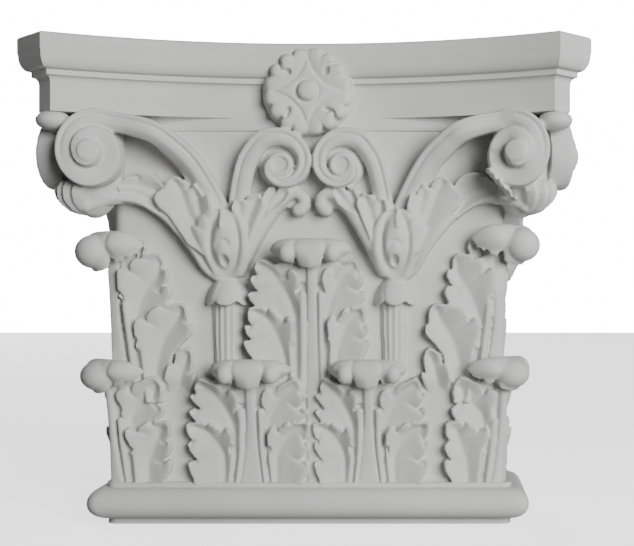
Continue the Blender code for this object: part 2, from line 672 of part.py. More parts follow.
def calyx(collection):
    """The calyx with its sprays in front of the bell, and the end of the outer arm, which runs on
    past the bell's corner to the tongue below the volutes."""
    left = CALYX_X - CALYX_INNER_SPAN
    right = BELL_HALF_WIDTH
    low = CALYX_FOOT - BURIED
    high = CALYX_TOP

    def shape(u, v, front):
        x = left + u * (right - left)
        z = low + v * (high - low)
        height = np.where(front > 0.5, spray_height(x, z), -BURIED)
        return x, bell_reach(z) + height, z

    across = int((right - left) / CARVING_STEP)
    parts = [slab("calyx", across, int((high - low) / CARVING_STEP), shape, collection)]
    arm = along_path(OUTER_ARM, 22)
    for out, z in arm[arm[:, 0] > right - CALYX_X - ARM_RADIUS]:
        centre = (CALYX_X + out, CALYX_REACH + SPRAY_RISE * out - ARM_RADIUS / 2, z)
        parts.append(ball("arm_end", centre, (ARM_RADIUS, ARM_RADIUS, ARM_RADIUS), collection))
    return parts


def fluted_stem(collection):
    """The fluted stem below the calyx, with its lobed cap."""

    def shape(u, v, front):
        z = LEAF_FOOT + v * (STEM_TOP - LEAF_FOOT)
        radius = STEM_RADIUS_FOOT + (STEM_RADIUS_TOP - STEM_RADIUS_FOOT) * v
        angle = math.pi * u
        radius = radius - FLUTE_DEPTH * np.abs(np.cos(STEM_FLUTES * angle)) ** 3
        x = STEM_X - np.cos(angle) * radius
        reach = np.where(front > 0.5, np.sin(angle) * radius, -BURIED)
        return x, bell_reach(z) + reach, z

    def cap_shape(u, v, front):
        angle = math.pi * u
        hang = CAP_HANG * np.abs(np.sin(CAP_LOBES * angle))
        z = STEM_TOP - hang + v * (CAP_TOP - STEM_TOP + hang)
        radius = CAP_RADIUS * (1 - CAP_TAPER * v**2)
        x = STEM_X - np.cos(angle) * radius
        reach = np.where(front > 0.5, np.sin(angle) * radius, -BURIED)
        return x, bell_reach(z) + reach, z

    return [slab("stem", 48, 8, shape, collection), slab("cap", 24, 8, cap_shape, collection)]


def corner_core(collection):
    parts = []
    for name, form in (("corner_mass", CORNER_MASS), ("pad", PAD), ("tongue", TONGUE)):
        centre = (CORNER_X + form["out"], form["out"], LIP_TOP - form["drop"])
        parts.append(ball(name, centre, (form["across"], form["across"], form["up"]), collection))
    return parts


def rosette(collection):
    """A dished flower of four petals round a button, made from a sphere whose front rings spread
    over the flower's face while its last two close the back."""
    sides = 4 * ROSETTE_LOBES
    rings = 8
    front_rings = rings - 2
    flower = ball("rosette", (0.0, 0.0, 0.0), (1.0, 1.0, 1.0), collection, sides, rings)
    points = np.empty(len(flower.data.vertices) * 3)
    flower.data.vertices.foreach_get("co", points)
    x, y, z = points.reshape(-1, 3).T
    angle = np.arctan2(y - FRONT_Y, x)
    ring = np.rint(np.arccos(np.clip(z, -1.0, 1.0)) / math.pi * rings)
    share = np.where(ring > front_rings, (rings - ring) / 2, ring / front_rings)
    lobes = ROSETTE_RADIUS - ROSETTE_SCALLOP * (1 - np.cos(ROSETTE_LOBES * angle))
    petal = np.abs(np.sin(2 * angle))
    r = share * lobes
    face = ROSETTE_REACH + PETAL_DISH * share * petal - PETAL_DISH * smooth(0.8, 1.0, share)
    face -= STAR_DEPTH * smooth(0.75, 0.25, share + 0.55 * petal)
    back = ABACUS_MIDDLE_REACH - FASCIA_INSET - BURIED
    reach = np.where(ring > front_rings, back, face)
    placed = np.stack([r * np.cos(angle), FRONT_Y - reach, ROSETTE_Z + r * np.sin(angle)], axis=1)
    flower.data.vertices.foreach_set("co", placed.reshape(-1))
    button = ball("button", (0.0, ROSETTE_REACH, ROSETTE_Z),
                  (BUTTON_RADIUS, BUTTON_RISE, BUTTON_RADIUS), collection)
    return [flower, button]


def transformed(obj, move, collection):
    """A copy whose points are moved by a function of their coordinates."""
    copy = bpy.data.objects.new(obj.name + "_copy", obj.data.copy())
    collection.objects.link(copy)
    points = np.empty(len(copy.data.vertices) * 3)
    copy.data.vertices.foreach_get("co", points)
    moved = move(points.reshape(-1, 3))
    copy.data.vertices.foreach_set("co", moved.reshape(-1))
    return copy


def round_the_corner(points):
    """The same form on the side face: a reflection in the 45 degree plane of the right arris."""
    reach = FRONT_Y - points[:, 1]
    return np.stack([CORNER_X + reach, FRONT_Y - (points[:, 0] - CORNER_X), points[:, 2]], axis=1)


def left_for_right(points):
    return points * np.array([-1.0, 1.0, 1.0])


def drift(obj):
    """Moves carving a little to the right of the bell's middle, less towards the corners."""
    points = np.empty(len(obj.data.vertices) * 3)
    obj.data.vertices.foreach_get("co", points)
    points = points.reshape(-1, 3)
    inner = np.maximum(1 - np.abs(points[:, 0]) / CORNER_X, 0.0)
    points[:, 0] += CARVING_DRIFT * inner
    obj.data.vertices.foreach_set("co", points.reshape(-1))


def carving_parts(collection):
    middle = [front_leaf("upper_leaf", 0.0, UPPER_LEAF_HALF_WIDTH, UPPER_LEAF_TOP,
                         UPPER_GROUPS, UPPER_LEAN, collection),
              curl("upper_curl", (0.0, UPPER_LEAN), False, UPPER_CURL_HALF_WIDTH,
                   UPPER_CURL_TOP, UPPER_CURL_EDGE, CURL_OUT, collection)]
    arris = (CORNER_X + 0.001, 0.001)
    one_side = [
        front_leaf("lower_leaf", LOWER_LEAF_X, LOWER_LEAF_HALF_WIDTH, LOWER_LEAF_TOP,
                   LOWER_GROUPS, LOWER_LEAN, collection),
        curl("lower_curl", (LOWER_LEAF_X, LOWER_LEAN - 0.001), False, LOWER_CURL_HALF_WIDTH,
             LOWER_CURL_TOP, LOWER_CURL_EDGE, CURL_OUT, collection),
        corner_leaf("lower_corner", LOWER_CORNER_HALF_WIDTH, LOWER_LEAF_TOP,
                    LOWER_GROUPS, LOWER_LEAN * 0.35, collection),
        curl("lower_corner_curl", arris, True, CORNER_CURL_HALF_WIDTH,
             LOWER_CURL_TOP, LOWER_CURL_EDGE, CURL_OUT, collection),
        corner_leaf("upper_corner", UPPER_CORNER_HALF_WIDTH, CORNER_LEAF_TOP,
                    CORNER_GROUPS, UPPER_LEAN * 0.3, collection),
        curl("upper_corner_curl", arris, True, CORNER_CURL_HALF_WIDTH,
             CORNER_CURL_TOP, CORNER_CURL_EDGE, CURL_OUT * 1.15, collection),
    ]
    one_side += corner_core(collection)
    one_side += fluted_stem(collection)
    one_side += helix(collection)
    returned = corner_volute(collection) + calyx(collection)
    one_side += returned + [transformed(obj, round_the_corner, collection) for obj in returned]
    one_side += [transformed(obj, left_for_right, collection) for obj in one_side]
    for obj in middle + one_side:
        drift(obj)
    return middle + one_side


def apply_modifiers(obj):
    bpy.context.view_layer.update()
    evaluated = obj.evaluated_get(bpy.context.evaluated_depsgraph_get())
    mesh = bpy.data.meshes.new_from_object(evaluated)
    obj.modifiers.clear()
    obj.data = mesh


def joined(name, parts, collection):
    """One object with every part's mesh, and the parts removed."""
    bm = bmesh.new()
    for part in parts:
        bm.from_mesh(part.data)
        bpy.data.objects.remove(part, do_unlink=True)
    return new_object(name, bm, collection)


def fuse(obj):
    """Makes overlapping forms one skin, then thins it to the carving's number of triangles."""
    remesh = obj.modifiers.new("fuse", "REMESH")
    remesh.mode = "VOXEL"
    remesh.voxel_size = FUSING_VOXEL
    soften = obj.modifiers.new("soften", "SMOOTH")
    soften.factor = 0.5
    soften.iterations = SOFTENING_ROUNDS
    apply_modifiers(obj)
    drop_crumbs(obj)
    thin = obj.modifiers.new("thin", "DECIMATE")
    thin.ratio = CARVING_TRIANGLES / (2 * len(obj.data.polygons))
    apply_modifiers(obj)


def drop_crumbs(obj):
    """Deletes the loose bits that the fusing leaves."""
    bm = bmesh.new()
    bm.from_mesh(obj.data)
    seen = set()
    crumbs = []
    for seed in bm.verts:
        if seed in seen:
            continue
        seen.add(seed)
        island = [seed]
        for vert in island:
            for edge in vert.link_edges:
                other = edge.other_vert(vert)
                if other not in seen:
                    seen.add(other)
                    island.append(other)
        if len(island) < CRUMB_POINTS:
            crumbs += island
    bmesh.ops.delete(bm, geom=crumbs, context="VERTS")
    bm.to_mesh(obj.data)
    bm.free()


def boolean(obj, other, operation):
    modifier = obj.modifiers.new(operation.lower(), "BOOLEAN")
    modifier.operation = operation
    modifier.object = other
    modifier.solver = "EXACT"
    apply_modifiers(obj)


def wall_cutter(collection):
    """A block behind the wall plane, which cuts the cast off flat."""
    bm = bmesh.new()
    bmesh.ops.create_cube(bm, size=1.0)
    obj = new_object("wall_cutter", bm, collection)
    obj.location = (0.0, WALL_Y + 0.5, TOTAL_HEIGHT / 2)
    obj.hide_render = True
    obj.display_type = "WIRE"
    return obj


def main():
    clear_scene()
    cast = bpy.data.collections.new("pilaster_capital")
    cutters = bpy.data.collections.new("cutters")
    for collection in (cast, cutters):
        bpy.context.scene.collection.children.link(collection)
    capital = body(cast)
    carving = joined("carving", carving_parts(cast), cast)
    fuse(carving)
    for part in [abacus(cast)] + rosette(cast) + [carving]:
        boolean(capital, part, "UNION")
        bpy.data.objects.remove(part, do_unlink=True)
    boolean(capital, wall_cutter(cutters), "DIFFERENCE")
    capital.name = "capital"
    capital.data.name = "capital"
    capital.data.materials.clear()
    capital.data.materials.append(plaster())
    capital.data.shade_smooth()
    capital.data.set_sharp_from_angle(angle=math.radians(SHARP_ANGLE))


main()
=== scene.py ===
# Corinthian pilaster capital in cast plaster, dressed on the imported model's frame.
# One piece stands for the whole cast: a crisp core with every carved form fused onto it.
# Shapes are worked out in millimetres and placed in metres.
import math

import bmesh
import bpy
import numpy as np
from mathutils import Matrix, Vector


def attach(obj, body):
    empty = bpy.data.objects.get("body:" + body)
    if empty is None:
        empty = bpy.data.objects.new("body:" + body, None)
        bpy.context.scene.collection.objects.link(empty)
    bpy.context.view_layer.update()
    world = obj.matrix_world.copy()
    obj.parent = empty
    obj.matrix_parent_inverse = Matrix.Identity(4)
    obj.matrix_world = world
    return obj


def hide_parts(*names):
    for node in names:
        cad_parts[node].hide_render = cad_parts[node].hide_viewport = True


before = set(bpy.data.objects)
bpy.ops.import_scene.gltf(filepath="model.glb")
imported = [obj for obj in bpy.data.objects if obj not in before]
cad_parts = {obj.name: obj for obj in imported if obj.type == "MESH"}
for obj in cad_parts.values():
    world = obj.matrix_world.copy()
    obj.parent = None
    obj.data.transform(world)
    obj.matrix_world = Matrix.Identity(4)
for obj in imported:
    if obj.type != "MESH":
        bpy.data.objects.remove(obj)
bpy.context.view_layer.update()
mm = 0.001

bell = {
    "halfWidth": 144, "front": -34, "wall": 41, "foot": 35, "flareFoot": 232, "lipFoot": 292,
    "lipTop": 302, "swell": 3, "lipReach": 7.5, "lipStep": 2.0,
    "cornerRound": 9, "arrisSpan": 10, "arris": 145.5,
    "bedTop": 4.5, "bedReach": 7, "torusTop": 27.2, "torusSeat": 8.5, "filletTop": 30.7,
    "filletReach": 7.5,
}
detail = {
    "step": 0.8,          # spacing of the carved surfaces
    "voxel": 0.85,        # size at which the forms are fused
    "softening": 1,
    "triangles": 176000,
    "crumb": 900,                           # loose bits under this many points are dropped
    "buried": 6,
    "sharpAngle": 42,
}


def smooth(low, high, value):
    t = np.clip((value - low) / (high - low), 0.0, 1.0)
    return t * t * (3 - 2 * t)


def bellReach(z):
    # how far the bell stands out at a height, beyond its foot
    swell = bell["swell"] * np.clip((z - bell["foot"]) / (bell["flareFoot"] - bell["foot"]), 0.0, 1.0)
    flare = np.clip((z - bell["flareFoot"]) / (bell["lipFoot"] - bell["flareFoot"]), 0.0, 1.0)
    return swell + (bell["lipReach"] - bell["swell"]) * flare**2


def curveThrough(points, count, beyond=None):
    # smooth curve through a few points (Catmull-Rom)
    points = np.array(points, float)
    if beyond is None:
        beyond = 2 * points[-1] - points[-2]
    padded = np.vstack([2 * points[0] - points[1], points, beyond])
    spans = np.linspace(0, len(points) - 1, count)
    index = np.minimum(spans.astype(int), len(points) - 2)
    t = (spans - index)[:, None]
    a, b, c, d = (padded[index + i] for i in range(4))
    return 0.5 * (2 * b + (c - a) * t + (2 * a - 5 * b + 4 * c - d) * t**2 + (3 * b - a - 3 * c + d) * t**3)


def lineDistance(a, z, points):
    nearest = np.full(np.shape(a), np.inf)
    points = np.array(points, float)
    for start, end in zip(points, points[1:]):
        run = end - start
        t = np.clip(((a - start[0]) * run[0] + (z - start[1]) * run[1]) / max(run @ run, 1e-9), 0.0, 1.0)
        nearest = np.minimum(nearest, np.hypot(a - start[0] - t * run[0], z - start[1] - t * run[1]))
    return nearest


def taperDistance(a, z, start, end, startRadius, endRadius):
    # distance to a stroke whose radius changes along it, negative inside
    run = (end[0] - start[0], end[1] - start[1])
    t = np.clip(((a - start[0]) * run[0] + (z - start[1]) * run[1]) / (run[0] ** 2 + run[1] ** 2), 0.0, 1.0)
    radius = startRadius + (endRadius - startRadius) * t
    return np.hypot(a - start[0] - t * run[0], z - start[1] - t * run[1]) - radius


def insideOutline(a, z, points):
    inside = np.zeros(np.shape(a), bool)
    for start, end in zip(points, np.roll(points, -1, axis=0)):
        rise = end[1] - start[1] or 1e-9
        crossing = start[0] + (z - start[1]) / rise * (end[0] - start[0])
        inside ^= ((start[1] > z) != (end[1] > z)) & (a < crossing)
    return inside


def hullDepth(a, z, points):
    # depth inside the outline's convex hull, so that notches leave no crease on the surface
    depth = np.full(np.shape(a), np.inf)
    for angle in np.linspace(0, 2 * math.pi, 48, endpoint=False):
        across, up = math.cos(angle), math.sin(angle)
        depth = np.minimum(depth, (points @ (across, up)).max() - (a * across + z * up))
    return np.maximum(depth, 0.0)


def blurred(values, mask, rounds):
    # blur that takes nothing from outside the mask
    weight = mask.astype(float)
    total = values * weight
    for _ in range(rounds):
        for axis in (0, 1):
            total = (np.roll(total, 1, axis) + 2 * total + np.roll(total, -1, axis)) / 4
            weight = (np.roll(weight, 1, axis) + 2 * weight + np.roll(weight, -1, axis)) / 4
    return np.where(mask, total / np.maximum(weight, 1e-9), 0.0)


def newObject(name, bm):
    bmesh.ops.recalc_face_normals(bm, faces=bm.faces[:])
    mesh = bpy.data.meshes.new(name)
    bm.to_mesh(mesh)
    bm.free()
    obj = bpy.data.objects.new(name, mesh)
    bpy.context.scene.collection.objects.link(obj)
    return obj


def slab(name, front, back):
    # closed solid from a grid: front and back give its two faces, [row, column] to (x, y, z) in mm
    rows, columns = front.shape[:2]
    bm = bmesh.new()
    bmesh.ops.create_grid(bm, x_segments=columns - 1, y_segments=rows - 1, size=0.5)
    extruded = bmesh.ops.extrude_face_region(bm, geom=bm.faces[:])
    raised = [item for item in extruded["geom"] if isinstance(item, bmesh.types.BMVert)]
    bmesh.ops.translate(bm, verts=raised, vec=(0, 0, 1))
    obj = newObject(name, bm)
    points = np.empty(len(obj.data.vertices) * 3)
    obj.data.vertices.foreach_get("co", points)
    points = points.reshape(-1, 3)
    column = np.rint((points[:, 0] + 0.5) * (columns - 1)).astype(int)
    row = np.rint((points[:, 1] + 0.5) * (rows - 1)).astype(int)
    placed = np.where(points[:, 2:] > 0.5, front[row, column], back[row, column])
    obj.data.vertices.foreach_set("co", placed.reshape(-1) * mm)
    return obj


def ball(name, centre, radii, sides=32, rings=20):
    # ellipsoid at (x, reach, z)
    bm = bmesh.new()
    bmesh.ops.create_uvsphere(bm, u_segments=sides, v_segments=rings, radius=1.0)
    bmesh.ops.scale(bm, verts=bm.verts[:], vec=Vector(radii) * mm)
    x, reach, z = centre
    bmesh.ops.translate(bm, verts=bm.verts[:], vec=Vector((x, bell["front"] - reach, z)) * mm)
    return newObject(name, bm)


def lattice(low, high):
    # even grid over (a, z)
    a = np.linspace(low[0], high[0], int((high[0] - low[0]) / detail["step"]) + 2)
    z = np.linspace(low[1], high[1], int((high[1] - low[1]) / detail["step"]) + 2)
    return np.meshgrid(a, z)


def onFront(x, reach, z):
    return np.stack(np.broadcast_arrays(x, bell["front"] - reach, z), axis=-1)


# Core: base ring, bell and abacus

abacus = {
    "middleReach": 16.4, "hornReach": 61.4, "hornHalfWidth": 182, "fasciaInset": 12.3,
    "fasciaTop": 322, "beadInset": 8, "beadFoot": 327, "beadTop": 331, "ovoloTop": 343, "top": 356,
    "wear": 1.5,
}


def bodyProfile():
    radius = (bell["torusTop"] - bell["bedTop"]) / 2
    middle = bell["bedTop"] + radius
    points = [(bell["bedReach"], 0.0), (bell["bedReach"], bell["bedTop"])]
    for angle in np.linspace(-math.pi / 2, math.pi / 2, 19):
        points.append((bell["torusSeat"] + radius * math.cos(angle), middle + radius * math.sin(angle)))
    points += [(bell["filletReach"], bell["torusTop"]), (bell["filletReach"], bell["filletTop"])]
    for share in np.linspace(0, 1, 6):
        reach = bell["filletReach"] * 0.4 * (1 - share) ** 2
        points.append((reach, bell["filletTop"] + share * (bell["foot"] - bell["filletTop"])))
    for share in np.linspace(0, 1, 36)[1:]:
        z = bell["foot"] + (bell["lipFoot"] - bell["foot"]) * share
        points.append((float(bellReach(z) - bell["lipStep"] * share**10), z))
    points.append((bell["lipReach"] - 0.3 * bell["lipStep"], bell["lipFoot"] + 0.8))
    points.append((bell["lipReach"], bell["lipFoot"] + 3))
    points.append((bell["lipReach"], bell["lipTop"] + detail["buried"]))
    return points


def ringSolid(name, rings):
    # one ring of points, extruded up through the others and closed at both ends
    bm = bmesh.new()
    bmesh.ops.create_circle(bm, segments=len(rings[0]), radius=1.0, cap_ends=True)
    order = {vert: i for i, vert in enumerate(bm.verts)}
    edges = bm.edges[:]
    for vert, i in order.items():
        vert.co = Vector(rings[0][i]) * mm
    for ring in rings[1:]:
        extruded = bmesh.ops.extrude_edge_only(bm, edges=edges)["geom"]
        raised = {}
        for vert in (item for item in extruded if isinstance(item, bmesh.types.BMVert)):
            below = next(edge.other_vert(vert) for edge in vert.link_edges if edge.other_vert(vert) in order)
            raised[vert] = order[below]
        edges = [item for item in extruded
                 if isinstance(item, bmesh.types.BMEdge) and all(vert in raised for vert in item.verts)]
        for vert, i in raised.items():
            vert.co = Vector(ring[i]) * mm
        order = raised
    bmesh.ops.contextual_create(bm, geom=edges)
    return newObject(name, bm)


def body():
    rings = []
    for reach, z in bodyProfile():
        right = []
        for angle in np.linspace(math.pi / 2, 0, 9):
            x = bell["halfWidth"] + reach - bell["cornerRound"] * (1 - math.cos(angle))
            y = bell["front"] - reach + bell["cornerRound"] * (1 - math.sin(angle))
            right.append((x, y, z))
        right.append((bell["halfWidth"] + reach, bell["wall"] + detail["buried"], z))
        rings.append([(-x, y, z) for x, y, z in reversed(right)] + right)
    return ringSolid("body", rings)


def abacusRing(inset, z):
    sagitta = abacus["hornReach"] - abacus["middleReach"]
    radius = (abacus["hornHalfWidth"] ** 2 + sagitta**2) / (2 * sagitta)
    centre = abacus["middleReach"] + radius
    arc = radius + inset
    cut = abacus["hornHalfWidth"] + abacus["hornReach"] - inset * math.sqrt(2)  # the horn's end: x + reach
    gap = centre - cut
    half = (-gap + math.sqrt(2 * arc**2 - gap**2)) / 2

    def reachAt(x):
        return centre - math.sqrt(arc**2 - x * x)

    right = [(x, bell["front"] - reachAt(x), z) for x in half * np.sin(np.linspace(0, math.pi / 2, 28))]
    deep = bell["wall"] - bell["front"] + detail["buried"] - bell["arris"]
    for along in np.linspace(half, -deep, 16):
        right.append((bell["arris"] + reachAt(along), bell["front"] + bell["arris"] - along, z))
    return [(-x, y, z) for x, y, z in reversed(right[1:])] + right


def abacusSolid():
    deep = abacus["fasciaInset"]
    coveRise = abacus["beadFoot"] - abacus["fasciaTop"]
    ovoloRise = abacus["ovoloTop"] - abacus["beadTop"]
    steps = [(deep, bell["lipTop"]), (deep, abacus["fasciaTop"])]
    for angle in np.linspace(0, math.pi / 2, 7)[1:]:
        inset = deep - (deep - abacus["beadInset"]) * (1 - math.cos(angle))
        steps.append((inset, abacus["fasciaTop"] + coveRise * math.sin(angle)))
    steps.append((abacus["beadInset"], abacus["beadTop"]))
    for angle in np.linspace(0, math.pi / 2, 10)[1:]:
        inset = (abacus["beadInset"] - abacus["wear"]) * (1 - math.sin(angle)) + abacus["wear"] / 3
        steps.append((inset, abacus["beadTop"] + ovoloRise * (1 - math.cos(angle))))
    steps.append((0.0, abacus["ovoloTop"] + abacus["wear"]))
    steps.append((0.0, abacus["top"] - abacus["wear"]))
    steps.append((abacus["wear"], abacus["top"]))
    return ringSolid("abacus", [abacusRing(inset, z) for inset, z in steps])


# Leaves: each group of lobes is drawn from its foot outside, up over its lobes and down inside.
# A list of lobes runs from notch to notch. Distances are from the midrib, or from the arris.

relief = {
    "floor": -0.6, "edge": 8.0, "power": 0.9, "step": 2.4, "edgeRound": 1.1, "creaseDepth": 2.2,
    "creaseWidth": 2.6, "creaseLength": 12, "slitDepth": 4, "slitWidth": 0.95, "ridge": 6.6, "innerFall": 4,
    "neckRise": 2.5, "blur": 3, "grooveDepth": 2.0, "grooveWidth": 0.75,
    "bluntFrom": 3.4, "shoulder": 1.3, "leanPower": 2.2, "neckDrops": (7, 9), "neckRadii": (13, 7),
}

lowerLeaf = {
    "x": 45, "top": 108, "lean": 13, "reach": 48, "blank": (11, 17), "neck": 20, "narrowing": (1.09, 0.98),
    "bandRise": 5.2, "band": ((31, 8.3), (55, 5.1), (75, 3.7)),
    "pipe": ((7.2, 84), (7.4, 70), (8.1, 52), (10.4, 30)),
    "pipeWidth": 2.9,
    "groups": (
        {
            "lobes": (
                ((38.7, 76), (41.9, 79.5), (44, 84), (35.9, 85.2)),
                ((40.5, 91), (43.1, 95.1), (39.3, 96.5)),
                ((39.8, 99.3), (39.2, 103.6), (37.3, 107.1), (34.8, 109.3), (31.3, 107.8), (24.2, 104.3),
                 (17.8, 95.8)),
                ((15, 99.7), (12.2, 100.4), (9.7, 97.2), (8.5, 92.3), (9.3, 87.3)),
            ),
            "foot": (30, 20), "inside": ((7.5, 80), (5.2, 66), (5.6, 50), (8.6, 20)),
            "trough": ((37.3, 104.7), (29.2, 100), (22.1, 91.6), (17.1, 83), (12.9, 73.8), (10.8, 65.3),
                       (10.6, 58), (11.5, 47.6), (13.2, 20)),
            "slit": ((10.1, 86.4), (12.0, 79.8)),
        },
        {
            "lobes": (
                ((41, 33), (43.6, 38.5), (45, 45.2), (37.8, 46.1)),
                ((42.6, 52.5), (45.3, 59.3), (41.2, 60.7)),
                ((44.8, 66), (45.9, 72.5), (45.6, 74.9), (43.3, 75.8), (38.4, 76), (34.8, 75.5),
                 (31.3, 74.3)),
                ((29.2, 75.3), (26.3, 74.2), (23.5, 71.7), (20.7, 68.2)),
                ((18.6, 70.3), (16.3, 71.7), (14, 68.9), (12.9, 65.3), (12.9, 61)),
            ),
            "foot": (41, 15), "inside": ((12.2, 56), (11.3, 49.5), (11.8, 44), (13.3, 31), (14, 15)),
            "trough": ((40.5, 72.4), (33.4, 69.6), (27.8, 64), (22.1, 55.4), (19.6, 47.6), (19.6, 33.5),
                       (20, 15)),
            "slit": ((14.3, 57.6), (15.4, 50.5)),
        },
    ),
}

upperLeaf = {
    "x": 0, "top": 198, "lean": 17, "reach": 51, "blank": (11, 17), "neck": 20, "narrowing": (0.98, 1.14),
    "bandRise": 5.2, "band": ((100, 5), (122, 4.5), (190, 3.5)), "bed": (110, 4.2),
    "pipe": ((7.0, 171), (7.2, 150), (7.4, 122), (8, 100)),
    "pipeWidth": 2.9,
    "groups": (
        {
            "lobes": (
                ((40.9, 162.4), (44.3, 166.9), (45.4, 171.1), (37.9, 172.6)),
                ((42.1, 177.5), (43.2, 181.2), (42.1, 184.6), (39, 184.6)),
                ((40.6, 189.5), (39.8, 193.3), (37.9, 195.9), (33.4, 196.3), (26, 191.8), (18.4, 182.4)),
                ((16.9, 187.3), (13.8, 189.5), (10.8, 188), (9, 183.5), (9.3, 177.5), (10.5, 173)),
            ),
            "foot": (34, 110), "inside": ((8, 168), (4.6, 150), (4.6, 130), (5, 100)),
            "trough": ((36.4, 192.5), (28.9, 188.8), (22.9, 179), (16.9, 168.4), (13.1, 157.9), (10.8, 146.6),
                       (10, 135.3), (9.6, 100)),
            "slit": ((10.5, 174), (11.2, 168.2)),
        },
        {
            "lobes": (
                ((42.8, 122.9), (47.7, 130.8), (48.5, 135.7), (42.1, 136.4)),
                ((46.6, 141.3), (48.1, 147), (43.3, 147)),
                ((45.8, 152.6), (45.4, 157.9), (43.9, 161.3), (40.2, 161.5), (36.4, 160.9), (31.3, 158.6)),
                ((30, 160.5), (26.6, 158.6), (23.6, 154.1), (20.6, 150)),
                ((18.4, 153.7), (16.1, 154.5), (13.8, 151.5), (12.9, 146.6), (13.8, 140.6)),
            ),
            "foot": (36, 100), "inside": ((12.6, 132), (12.4, 120), (12.4, 100)),
            "trough": ((40.2, 157.9), (33.4, 154.1), (28.1, 146.6), (23.6, 135.3), (19.9, 122.5), (18, 100)),
            "slit": ((14.2, 136.2), (14.6, 128.5)),
        },
    ),
}

lowerCornerLeaf = {
    "top": 108, "lean": 4, "reach": 46, "blank": (11, 17), "neck": 16, "narrowing": (1, 1),
    "bandRise": 6.2, "band": ((31, 7), (43.8, 4.8), (61.7, 3.2), (78.8, 3.0)), "sideFall": 0.0,
    "pipe": ((5.6, 77), (6.3, 62), (7.8, 46), (9.6, 30)),
    "pipeWidth": 2.7,
    "groups": (
        {
            "lobes": (
                ((29, 75.9), (34, 77.3), (37.2, 82.3), (37.6, 85.9), (34.7, 87.9), (30.8, 86.3)),
                ((34, 90.2), (36.2, 94.5), (36.2, 100.9), (33.3, 108), (28.3, 110.2), (21, 106.5),
                 (16, 104.2), (14, 100.9), (13.3, 95.9)),
                ((10.6, 99.6), (6.9, 100.2), (4.8, 96.6), (5.1, 90.9), (6.9, 85.9)),
            ),
            "foot": (26, 30), "inside": ((5.4, 78), (4.2, 62), (5.6, 44), (7.6, 20)),
            "trough": ((31.9, 102.3), (22.6, 90.2), (15.5, 83), (10.5, 72), (8.9, 61.7), (10.4, 48),
                       (12.2, 20)),
            "slit": ((4.6, 83.4), (7.2, 77.7)),
        },
        {
            "lobes": (
                ((37.2, 32.4), (41.1, 38.8), (42.4, 44.5), (41.5, 47.7), (36.9, 46.7), (33.3, 45.2)),
                ((39, 49.5), (41.9, 54.5), (42.2, 58.8), (40.4, 60.6), (36.5, 59.5)),
                ((38.3, 60.9), (41.1, 65.9), (42, 70.9), (41.1, 75.2), (38.3, 76.8), (31.9, 76.3),
                 (27.6, 73.4)),
                ((25.5, 75.6), (20.5, 73.1), (16.9, 68.1)),
                ((14, 70.2), (10.4, 71.3), (8.9, 68.1), (9.8, 62.4), (12.6, 55.9)),
            ),
            "foot": (37, 15), "inside": ((11.2, 50), (12, 42), (13, 31), (14, 15)),
            "trough": ((34, 70.8), (29.7, 57.9), (25.4, 47.4), (24, 33.1), (24, 15)),
            "slit": ((12.9, 56.5), (13.9, 50.5)),
        },
    ),
}

upperCornerLeaf = {
    "top": 201, "lean": 3, "reach": 62, "blank": (11, 15), "neck": 14, "narrowing": (1, 1),
    "bandRise": 3.2, "band": ((110, 12), (129, 9.0), (150, 6.3), (173, 6.3)), "sideFall": 0.4,
    "pipe": ((10.2, 164), (11.4, 150), (13.6, 130), (16, 105)),
    "pipeWidth": 3.4,
    "groups": (
        {
            "lobes": (
                ((18, 204), (16.4, 209.5), (23.3, 211), (25.9, 209.5), (26.7, 204.1), (24, 198)),
            ),
            "foot": (22, 180), "inside": ((10, 180), (10, 190)),
            "trough": ((22, 208), (20, 190)),
            "slit": None,
        },
        {
            "lobes": (
                ((40.8, 164.6), (43.8, 170.6), (43.8, 174.4), (41.5, 177.3), (37, 176), (33.9, 172.9)),
                ((38.5, 177.5), (42.1, 182.8), (42.4, 187.4), (40.8, 189.7), (38.9, 189.7)),
                ((38.5, 195.8), (36.2, 200.3), (32.4, 201.8), (26.3, 200.3), (21.7, 196.9)),
                ((19.8, 198.4), (16.4, 195.8), (14.1, 191.2), (14.9, 186.6)),
                ((11, 189.4), (6.9, 189.7), (5, 183.6), (5.8, 177.5)),
            ),
            "foot": (36, 120), "inside": ((7.2, 166), (7.2, 150), (10, 128), (13, 100)),
            "trough": ((36, 196), (33.9, 185.6), (27.8, 176.7), (21.7, 165.5), (17.6, 152), (17.8, 135),
                       (20, 100)),
            "slit": ((7.4, 172.5), (10.6, 164.9)),
        },
        {
            "lobes": (
                ((43.8, 122.3), (44.6, 125.7), (47.6, 129.6), (51.4, 134.1), (56, 138.7), (58.6, 143.2),
                 (58.3, 147.8), (56.4, 149)),
                ((56, 156.2), (53.7, 162.3), (49.9, 164.4), (43, 163.4), (37, 160.8)),
                ((33.9, 161.5), (29.4, 159.2), (26.3, 155.4), (25.5, 150.1)),
                ((22.6, 152.9), (19.8, 153.1), (17.9, 151.2), (16.4, 146.3), (17.2, 139.4)),
            ),
            "foot": (40, 90), "inside": ((18.6, 128), (19.6, 118), (22, 90)),
            "trough": ((50.6, 159.7), (46.1, 150.1), (40, 141.7), (36.2, 133.4), (33.1, 123.5), (30.9, 112),
                       (30, 90)),
            "slit": ((17.4, 139.4), (21.2, 129.4)),
        },
        {
            "lobes": (
                ((56.8, 100), (59.4, 106), (61, 112), (57.4, 111.4)),
                ((58.9, 119.7), (58.6, 127.3), (56, 131.1), (52.2, 130.3), (47.6, 127.3), (44.4, 119)),
                ((41.6, 118.4), (39, 113)),
            ),
            "foot": (52, 84), "inside": ((37, 104), (36, 84)),
            "trough": ((54.6, 125), (50.6, 114), (47, 98), (46, 84)),
            "slit": None, "fade": (86, 112),
        },
    ),
}


